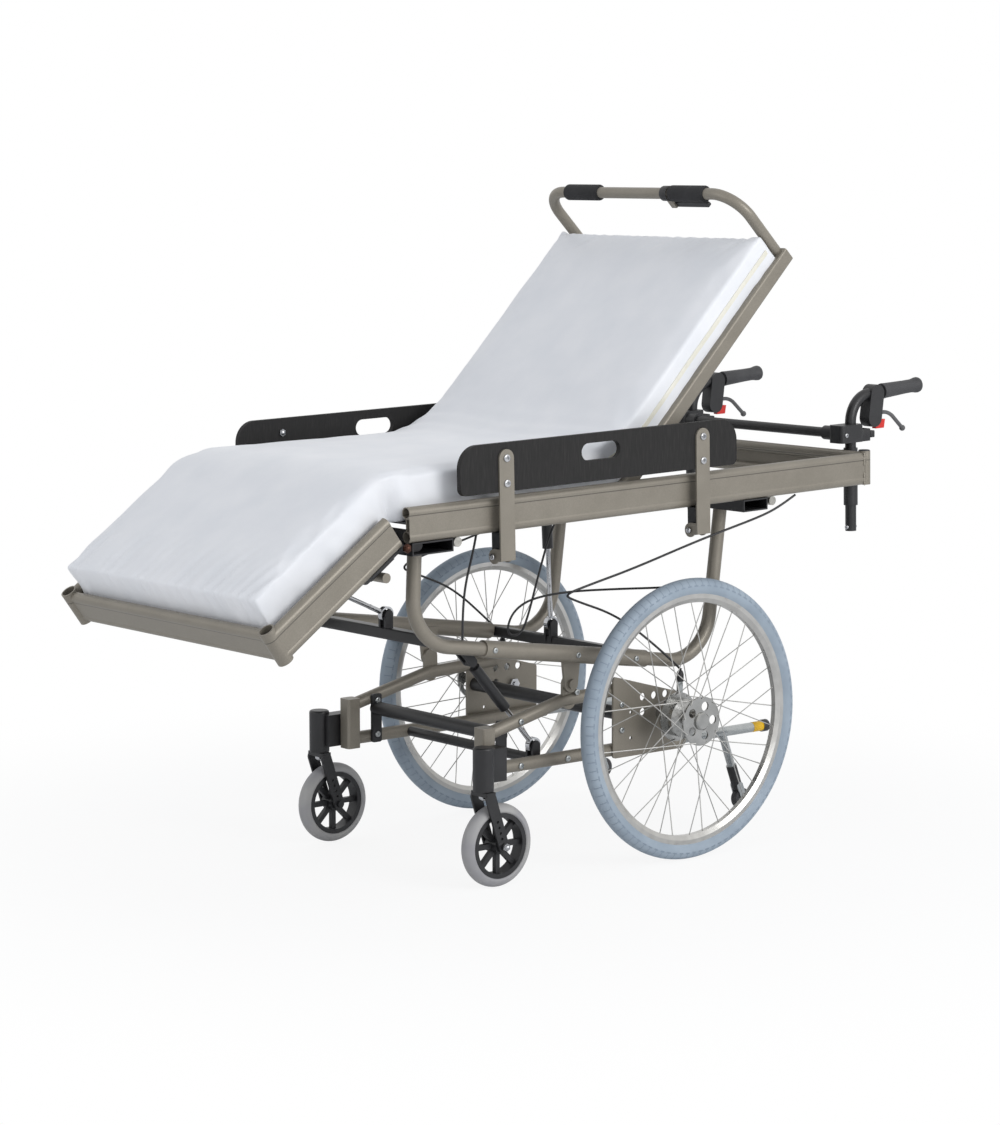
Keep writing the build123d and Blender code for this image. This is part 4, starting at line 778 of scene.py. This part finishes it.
def turned_blank(name, sides, radius, height):
    """Upright cylinder or prism on the origin, left in edit mode."""
    bpy.ops.mesh.primitive_cylinder_add(vertices=sides, radius=radius, depth=height,
                                        location=(0, 0, height / 2))
    blank = bpy.context.object
    blank.name = name
    bpy.ops.object.transform_apply(location=True)
    bpy.ops.object.mode_set(mode="EDIT")
    return blank


def pan_screw(name, radius, height):
    """Pan head with a rounded rim and a socket."""
    head = turned_blank(name, 20, radius, height)
    pick_facing(head, 0.9)
    bpy.ops.mesh.bevel(offset=height * 0.55, segments=3)
    pick_facing(head, 0.99)
    bpy.ops.mesh.inset(thickness=radius * 0.3)
    bpy.ops.mesh.extrude_region_move(TRANSFORM_OT_translate={"value": (0, 0, -height * 0.6)})
    bpy.ops.object.mode_set(mode="OBJECT")
    bpy.ops.object.shade_smooth_by_angle(angle=radians(40))
    return head


def acorn_nut(name, radius, height):
    """Hexagon nut with a domed cap."""
    nut = turned_blank(name, 6, radius, height * 0.5)
    pick_facing(nut, 0.9)
    bpy.ops.mesh.subdivide(number_cuts=1)
    pick_facing(nut, 0.9)
    bpy.ops.mesh.inset(thickness=radius * 0.14)
    for rise, narrow in DOME_STEPS:
        bpy.ops.mesh.extrude_region_move(TRANSFORM_OT_translate={"value": (0, 0, height * rise)})
        bpy.ops.transform.resize(value=(narrow, narrow, 1))
    bpy.ops.object.mode_set(mode="OBJECT")
    bpy.ops.object.shade_smooth_by_angle(angle=radians(45))
    return nut


def plug_cap(name, radius, height):
    """Low plastic cap with a rounded rim."""
    cap = turned_blank(name, 28, radius, height)
    pick_facing(cap, 0.9)
    bpy.ops.mesh.bevel(offset=height * 0.45, segments=3)
    bpy.ops.object.mode_set(mode="OBJECT")
    bpy.ops.object.shade_smooth_by_angle(angle=radians(40))
    return cap


def facing(spot, way):
    """Matrix that stands a piece on a spot, facing a way."""
    return Matrix.Translation(spot) @ way.to_track_quat("Z", "Y").to_matrix().to_4x4()


def both_sides(places):
    """Left-side places, given as spot and way, and their mirror images."""
    flip = Vector((1, -1, 1))
    return [facing(s, w) for s, w in places] + [facing(s * flip, w * flip) for s, w in places]


def fit_hardware(kind, name, places, finish, body):
    """Copies of one kind at their places, as one piece that rides on a body."""
    piece = copied(kind, name, places)
    piece.data.materials.clear()
    piece.data.materials.append(finish)
    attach(piece, body)
    return piece


# %% Screws on the chassis and the carrier
def carrier_height(x):
    """Height of the carrier tube's middle, from its place along the chair."""
    return 525 - (x + 692) * 119 / 814


SLEEVE_FACE, TUBE_FACE, PLATE_FACE, CROSS_FACE = -280.0, -245.6, -250.6, -212.4
sleeve_spots = [(from_axle(x, SLEEVE_FACE, carrier_height(x)), NEAR) for x in (-488, -261, -96)]
fit_hardware(pan_screw("sleeve_screw", 0.0062, 0.0036), "sleeve_screws", both_sides(sleeve_spots), zinc_plate,
             "seat_frame")
tube_spots = [(-260, 236), (-390, 236), (-390, 330), (-235, 376)]
chassis_spots = [(from_axle(x, TUBE_FACE, z), NEAR) for x, z in tube_spots]
chassis_spots += [(from_axle(-111, PLATE_FACE, z), NEAR) for z in (336, 280)]
chassis_spots += [(from_axle(-417, CROSS_FACE, z), FAR) for z in (318, 242)]
fit_hardware(pan_screw("chassis_screw", 0.0068, 0.0042), "chassis_screws", both_sides(chassis_spots),
             zinc_plate, "chassis")
knee_spot = [(Vector((KNEE.x, -0.3665, KNEE.z)), NEAR)]
fit_hardware(acorn_nut("knee_nut", 0.0095, 0.011), "knee_acorn_nuts", both_sides(knee_spot), copper_bolt,
             "seat_frame")
ear_ends = [(on_bed(u + 21.8 * way, -368, -84), Vector((way, 0, 0))) for u in (232, 772) for way in (-1, 1)]
fit_hardware(pan_screw("ear_pin_head", 0.0066, 0.0034), "ear_pin_heads", both_sides(ear_ends), chromed_steel,
             "seat_frame")
print("chassis hardware", len(chassis_spots) * 2)

# %% Screws on the guards, casters, corners and handles
GUARD_FACE, GUARD_BACK = -391.8, -376.2
for side, flip in (("left", 1), ("right", -1)):
    outer = [facing(on_bed(u, flip * GUARD_FACE, w), NEAR * flip) for u in (232, 772) for w in (116, 65)]
    inner = [facing(on_bed(u, flip * GUARD_BACK, w), FAR * flip) for u in (232, 772) for w in (116, 65)]
    fit_hardware(pan_screw("guard_screw", 0.0082, 0.0042), side + "_guard_screws", outer, chromed_steel,
                 side + "_guard")
    fit_hardware(acorn_nut("guard_nut", 0.0082, 0.0085), side + "_guard_nuts", inner, chromed_steel,
                 side + "_guard")
    axle = from_axle(-489, flip * -315.5, 88)
    fit_hardware(acorn_nut("caster_bolt", 0.0085, 0.010), side + "_caster_bolt", [facing(axle, NEAR * flip)],
                 chromed_steel, side + "_fork")
    stem = from_axle(-523, flip * -284, 195.6)
    fit_hardware(acorn_nut("stem_nut", 0.0095, 0.011), side + "_stem_nut", [facing(stem, -UP)], chromed_steel,
                 side + "_fork")
clamp_spot = [(on_bed(1318, -282.8, 66), NEAR)]
TAIL_WIDE, TAIL_DEEP, TAIL_LONG = 0.036, 0.028, 0.026
KNOB_STEPS = ((0.005, 1.0), (0.001, 1.3), (0.013, 1.0), (0.003, 0.75))


def clamp_tail(name):
    """Tail of a handle clamp, necked down to its lock knob, standing on the origin."""
    bpy.ops.mesh.primitive_cube_add(size=1, location=(0, 0, TAIL_LONG / 2),
                                    scale=(TAIL_WIDE, TAIL_DEEP, TAIL_LONG))
    tail = bpy.context.object
    tail.name = name
    bpy.ops.object.transform_apply(location=True, rotation=False, scale=True)
    bpy.ops.object.mode_set(mode="EDIT")
    pick_facing(tail, 0.9)
    bpy.ops.mesh.inset(thickness=0.008)
    for rise, widen in KNOB_STEPS:
        bpy.ops.mesh.extrude_region_move(TRANSFORM_OT_translate={"value": (0, 0, rise)})
        bpy.ops.transform.resize(value=(widen, widen, 1))
    bpy.ops.object.mode_set(mode="OBJECT")
    apply_modifier(tail, "BEVEL", width=0.0024, segments=2, limit_method="ANGLE")
    bpy.ops.object.shade_smooth_by_angle(angle=radians(40))
    return tail


tail_way = Vector((cos(BED_TILT), 0, sin(BED_TILT)))
tail_spot = [(on_bed(1372, -263, 62), tail_way)]
fit_hardware(clamp_tail("clamp_tail"), "clamp_tails", both_sides(tail_spot), black_nylon,
             "push_handles")
foot_buttons = [(on_bed(1354 + 12.2 * way, -261, -146), Vector((way, 0, 0))) for way in (-1, 1)]
handle_spots = both_sides(clamp_spot + foot_buttons)
fit_hardware(pan_screw("handle_screw", 0.0052, 0.0032), "handle_screws", handle_spots, chromed_steel,
             "push_handles")
corner_tops = [(on_bed(1298.5, -356.5, 37.6), UP)]
fit_hardware(plug_cap("corner_cap", 0.0128, 0.0036), "corner_caps", both_sides(corner_tops), black_nylon,
             "seat_frame")
print("guard, caster, handle and corner hardware fitted")

# %% [markdown]
# Each rail has two round edges with a flat web between them. The groove under the upper edge lies in shade,
# and the paint draws that shade as a thin dark line at its height on the rail: painted shade.

# %% Painted groove shade on the rails
GROOVE_SHADE_UP, GROOVE_SHADE_HALF, GROOVE_SHADE_DARK = 0.0192, 0.0009, 0.42
LEG_RAIL_UP = 0.044


def groove_shaded_paint(name, middle, angle):
    """Frame paint with a painted shade line where the round top of a rail meets its flat web."""
    material = champagne_paint.copy()
    material.name = name
    tree = material.node_tree
    colour_input = tree.nodes["Principled BSDF"].inputs["Base Color"]
    gap = vector_calc(tree, "SUBTRACT", "Vector", object_places(tree), middle)
    rise = vector_calc(tree, "DOT_PRODUCT", "Value", gap, Vector((-sin(angle), 0, cos(angle))))
    near = calc(tree, "COMPARE", rise, GROOVE_SHADE_UP, GROOVE_SHADE_HALF)
    # The thin band at the groove's height is darkened in colour: painted shade of the groove.
    line = ramp(tree, near, [(0.0, grey(1.0)), (1.0, grey(GROOVE_SHADE_DARK))])
    painted_shade_colour = mixed(tree, 1.0, colour_input.links[0].from_socket, line, "MULTIPLY")
    tree.links.new(painted_shade_colour, colour_input)
    return material


bed_rail_painted_shade = groove_shaded_paint("bed_rail_painted_shade", on_bed(0, 0, 0), BED_TILT)
leg_rail_painted_shade = groove_shaded_paint("leg_rail_painted_shade", side_point(KNEE, LEG_ANGLE, 0, LEG_RAIL_UP), LEG_ANGLE)
bpy.data.objects["leg_frame"].data.materials[0] = leg_rail_painted_shade
for name in ("side_rails", "rear_rail"):
    bpy.data.objects[name].data.materials[0] = bed_rail_painted_shade
print("seam lines on the rails")

# %% Weld beads at the rear corners
def weld_drop():
    """One frozen drop of a weld, a squashed ball."""
    bpy.ops.mesh.primitive_uv_sphere_add(segments=10, ring_count=6, radius=1)
    drop = bpy.context.object
    bpy.ops.transform.resize(value=(0.0034, 0.0030, 0.0014))
    bpy.ops.object.transform_apply(location=True, rotation=True, scale=True)
    bpy.ops.object.shade_smooth()
    return drop


bead_spots = [(on_bed(1285.5, -369.6, w), NEAR) for w in range(-34, 36, 4) if abs(w) > 9]
fit_hardware(weld_drop(), "corner_weld_beads", both_sides(bead_spots), champagne_paint,
             "seat_frame")
print("weld drops", len(bead_spots) * 2)

# %% [markdown]
# Sleeves and caps of the anti-tippers: a yellow marker band, a black end cap, and a black sleeve on
# the lower half of the leaning leg. Each is an open tube with a wall, a little wider than what it is on.

# %% Anti-tipper trim
def open_sleeve(name, start, end, radius, wall, finish, body):
    """Tube with a wall round a line, with softened rims."""
    run = end - start
    lean = run.to_track_quat("Z", "Y").to_euler()
    bpy.ops.mesh.primitive_cylinder_add(vertices=32, radius=radius, depth=run.length, end_fill_type="NOTHING",
                                        location=(start + end) / 2, rotation=lean)
    piece = bpy.context.object
    piece.name = name
    bpy.ops.object.transform_apply(location=True, rotation=True)
    apply_modifier(piece, "SOLIDIFY", thickness=wall, offset=-1)
    apply_modifier(piece, "BEVEL", width=wall * 0.35, segments=2)
    bpy.ops.object.shade_smooth_by_angle(angle=radians(40))
    piece.data.materials.append(finish)
    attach(piece, body)
    return piece


LEG_LEAN = radians(21)
for side, flip in (("left", -1), ("right", 1)):
    tube = [from_axle(x, flip * 232, 236) for x in (296, 327, 342.6)]
    body = side + "_anti_tipper"
    open_sleeve(side + "_marker_band", tube[0], tube[1], 0.0113, 0.0004, yellow_tape, body)
    open_sleeve(side + "_tipper_cap", tube[1], tube[2], 0.0136, 0.0008, black_nylon, body)
    plug_spot = facing(tube[2] - Vector((0.0012, 0, 0)), Vector((1, 0, 0)))
    fit_hardware(plug_cap("tipper_plug", 0.0131, 0.002), side + "_tipper_plug", [plug_spot], black_nylon,
                 body)
    root = from_axle(205, flip * 232, 236)
    leg_way = Vector((sin(LEG_LEAN), 0, -cos(LEG_LEAN)))
    open_sleeve(side + "_leg_sleeve", root + leg_way * 0.084, root + leg_way * 0.142, 0.0118, 0.0010,
                black_nylon, body)
    bpy.data.objects[side + "_tipper_roller"].data.materials[0] = grip_rubber
print("anti-tipper trim fitted")

# %% Band of the release lever
BAND_UP, BAND_R, BAND_WALL = 0.032, 0.0167, 0.0006
BAND_HALF = Vector((0, 0.0105, 0))
lever_pivot = Vector(JOINT["lever_squeeze"]["pos_m"])
band_mid = lever_pivot + Vector((-sin(BACK_ANGLE), 0, cos(BACK_ANGLE))) * BAND_UP
open_sleeve("release_lever_band", band_mid - BAND_HALF, band_mid + BAND_HALF, BAND_R, BAND_WALL, black_nylon,
            "backrest")
bpy.data.objects["release_lever"].data.materials[0] = black_nylon
print("lever band at", band_mid)

# %% [markdown]
# Handle grips: soft rubber, thick at the root, drawn in for the hand and flared at the end. The
# profile is pulled up ring by ring from a circle on the tube.

# %% Rubber grips
GRIP_PROFILE = ((0.0, 17.2), (4.0, 17.9), (9.0, 17.2), (30.0, 16.3), (30.0, 15.4), (24.0, 15.2), (9.0, 16.3),
                (6.0, 17.6), (6.0, 17.9), (3.0, 17.0), (1.2, 13.0))
GRIP_RUN, GRIP_RISE = 222, 12
grip_way = Vector((GRIP_RUN * cos(BED_TILT) - GRIP_RISE * sin(BED_TILT), 0,
                   GRIP_RUN * sin(BED_TILT) + GRIP_RISE * cos(BED_TILT))).normalized()


def rubber_grip():
    """Upright grip, pulled from a circle of the tube's size."""
    radius = 12.6
    bpy.ops.mesh.primitive_circle_add(vertices=32, radius=radius / 1000, fill_type="NGON")
    grip = bpy.context.object
    bpy.ops.object.mode_set(mode="EDIT")
    bpy.ops.mesh.select_all(action="SELECT")
    for rise, width in GRIP_PROFILE:
        bpy.ops.mesh.extrude_region_move(TRANSFORM_OT_translate={"value": (0, 0, rise / 1000)})
        bpy.ops.transform.resize(value=(width / radius, width / radius, 1))
        radius = width
    bpy.ops.mesh.select_all(action="SELECT")
    bpy.ops.mesh.normals_make_consistent(inside=False)
    bpy.ops.object.mode_set(mode="OBJECT")
    bpy.ops.object.shade_smooth_by_angle(angle=radians(50))
    return grip


grip_roots = [facing(on_bed(1454, y, 155.4), grip_way) for y in (-261, 261)]
grips = fit_hardware(rubber_grip(), "rubber_grips", grip_roots, grip_rubber, "push_handles")
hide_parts("handle_grips")
print("grips", len(grips.data.polygons), "faces")

# %% [markdown]
# Cables. The brake cables leave the rails near the rear, swing forward under the bed and come back to
# the drums; one release cable drops to the carrier tube and one loops down from the rear beam and across
# to the near carrier tube. Each is a smooth spline over its route points.

# %% Cables
CABLE_D = 0.005
BRAKE_ROUTE = ((300, -358, 769.9), (262, -352, 748), (215, -342, 728), (120, -318, 700), (40, -300, 676),
               (-120, -296, 636), (-240, -294, 612), (-300, -280, 594), (-262, -262, 578), (-149, -280, 536),
               (-36, -294, 452), (20, -296, 404))
CARRIER_ROUTE = ((-516, -262, 788.6), (-518, -262, 760), (-532, -262, 700), (-553, -262, 635),
                 (-560, -262, 570), (-560, -262, 521.4))
SPRING_ROUTE = ((134.6, 15, 756), (60, 15, 757), (-30, 15, 748), (-80, 15, 700), (-124, 15, 579),
                (-150, 15, 500), (-172, 15, 460), (-212, 15, 466), (-200, 15, 508), (-160, 15, 534),
                (-101, 12, 544), (-26, 0, 548), (54, -60, 552), (95, -130, 558), (124, -210, 568),
                (140, -246.4, 574))


def cable(name, route, node):
    """Round cable along a spline, which takes the place of its solid."""
    data = bpy.data.curves.new(name, "CURVE")
    data.dimensions = "3D"
    line = data.splines.new("NURBS")
    line.points.add(len(route) - 1)
    for point, place in zip(line.points, route):
        point.co = from_axle(*place).to_4d()
    line.order_u = 3
    line.use_endpoint_u = True
    line.resolution_u = 8
    data.bevel_depth = CABLE_D / 2
    data.bevel_resolution = 3
    data.use_fill_caps = True
    data.materials.append(cable_sheath)
    piece = bpy.data.objects.new(name, data)
    bpy.context.scene.collection.objects.link(piece)
    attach(piece, "seat_frame")
    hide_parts(node)
    return piece


cable("left_brake_cable", BRAKE_ROUTE, "brake_cables")
cable("right_brake_cable", [(x, -y, z) for x, y, z in BRAKE_ROUTE], "brake_cables")
cable("carrier_cable", CARRIER_ROUTE, "release_cables")
cable("spring_cable", SPRING_ROUTE, "release_cables")
clip_spot = [(from_axle(14, -300, 379.5), UP)]
fit_hardware(plug_cap("cable_clip", 0.008, 0.028), "brake_cable_clips", both_sides(clip_spot), black_nylon,
             "chassis")
print("cables laid")

# %% [markdown]
# The studio: a wide pale floor that fades into white away from the chair, one large soft lamp from
# the near side, a weak one from the foot end, and an even white sky, so colours come out about as written.

# %% Floor and light
FLOOR_SIZE = 60.0
FADE_FROM, FADE_TO = 0.8, 2.0
NEAR_WHITE = 0.88


def studio_floor():
    """Large pale floor that keeps the shadow near the chair and is plain white further out."""
    bpy.ops.mesh.primitive_plane_add(size=FLOOR_SIZE, location=(0, 0, -0.0005))
    floor = bpy.context.object
    floor.name = "studio_floor"
    material, tree, shader = new_finish("pale_floor")
    shader.inputs["Base Color"].default_value = linear("#F6F6F6")
    shader.inputs["Roughness"].default_value = 0.9
    reach = vector_calc(tree, "LENGTH", "Value", object_places(tree))
    far = add(tree, "ShaderNodeMapRange", {"Value": reach, "From Min": FADE_FROM, "From Max": FADE_TO,
                                           "To Min": NEAR_WHITE}, interpolation_type="SMOOTHSTEP")
    ray = add(tree, "ShaderNodeLightPath", {})
    seen = calc(tree, "MULTIPLY", far.outputs["Result"], ray.outputs["Is Camera Ray"])
    white = add(tree, "ShaderNodeEmission", {"Color": (1, 1, 1, 1), "Strength": 1.0})
    both = add(tree, "ShaderNodeMixShader", {"Fac": seen, 1: shader.outputs["BSDF"],
                                            2: white.outputs["Emission"]})
    tree.links.new(both.outputs["Shader"], tree.nodes["Material Output"].inputs["Surface"])
    floor.data.materials.append(material)
    return floor


def soft_lamp(name, place, aim, size, power):
    """Square area lamp that points at a spot."""
    data = bpy.data.lights.new(name, "AREA")
    data.size = size
    data.energy = power
    lamp = bpy.data.objects.new(name, data)
    lamp.location = place
    lamp.rotation_euler = (Vector(aim) - Vector(place)).to_track_quat("-Z", "Y").to_euler()
    bpy.context.scene.collection.objects.link(lamp)
    return lamp


studio_floor()
soft_lamp("key_lamp", (0.8, -5.0, 2.6), (0, 0, 0.6), 2.6, 122)
soft_lamp("fill_lamp", (-5.0, 0.6, 2.4), (0, 0, 0.6), 2.5, 28)
world = bpy.data.worlds.new("studio_sky")
bpy.context.scene.world = world
world.use_nodes = True
sky = world.node_tree.nodes["Background"]
sky.inputs["Color"].default_value = linear("#F4F7FC")
sky.inputs["Strength"].default_value = 0.68
sky_tree = world.node_tree
ray = add(sky_tree, "ShaderNodeLightPath", {})
seen = calc(sky_tree, "MAXIMUM", ray.outputs["Is Camera Ray"], ray.outputs["Is Glossy Ray"])
white = add(sky_tree, "ShaderNodeBackground", {"Color": (1, 1, 1, 1), "Strength": 1.0})
mix = add(sky_tree, "ShaderNodeMixShader", {"Fac": seen, 1: sky.outputs["Background"],
                                            2: white.outputs["Background"]})
sky_tree.links.new(mix.outputs["Shader"], sky_tree.nodes["World Output"].inputs["Surface"])
bpy.context.scene.view_settings.view_transform = "Standard"
print("studio ready")
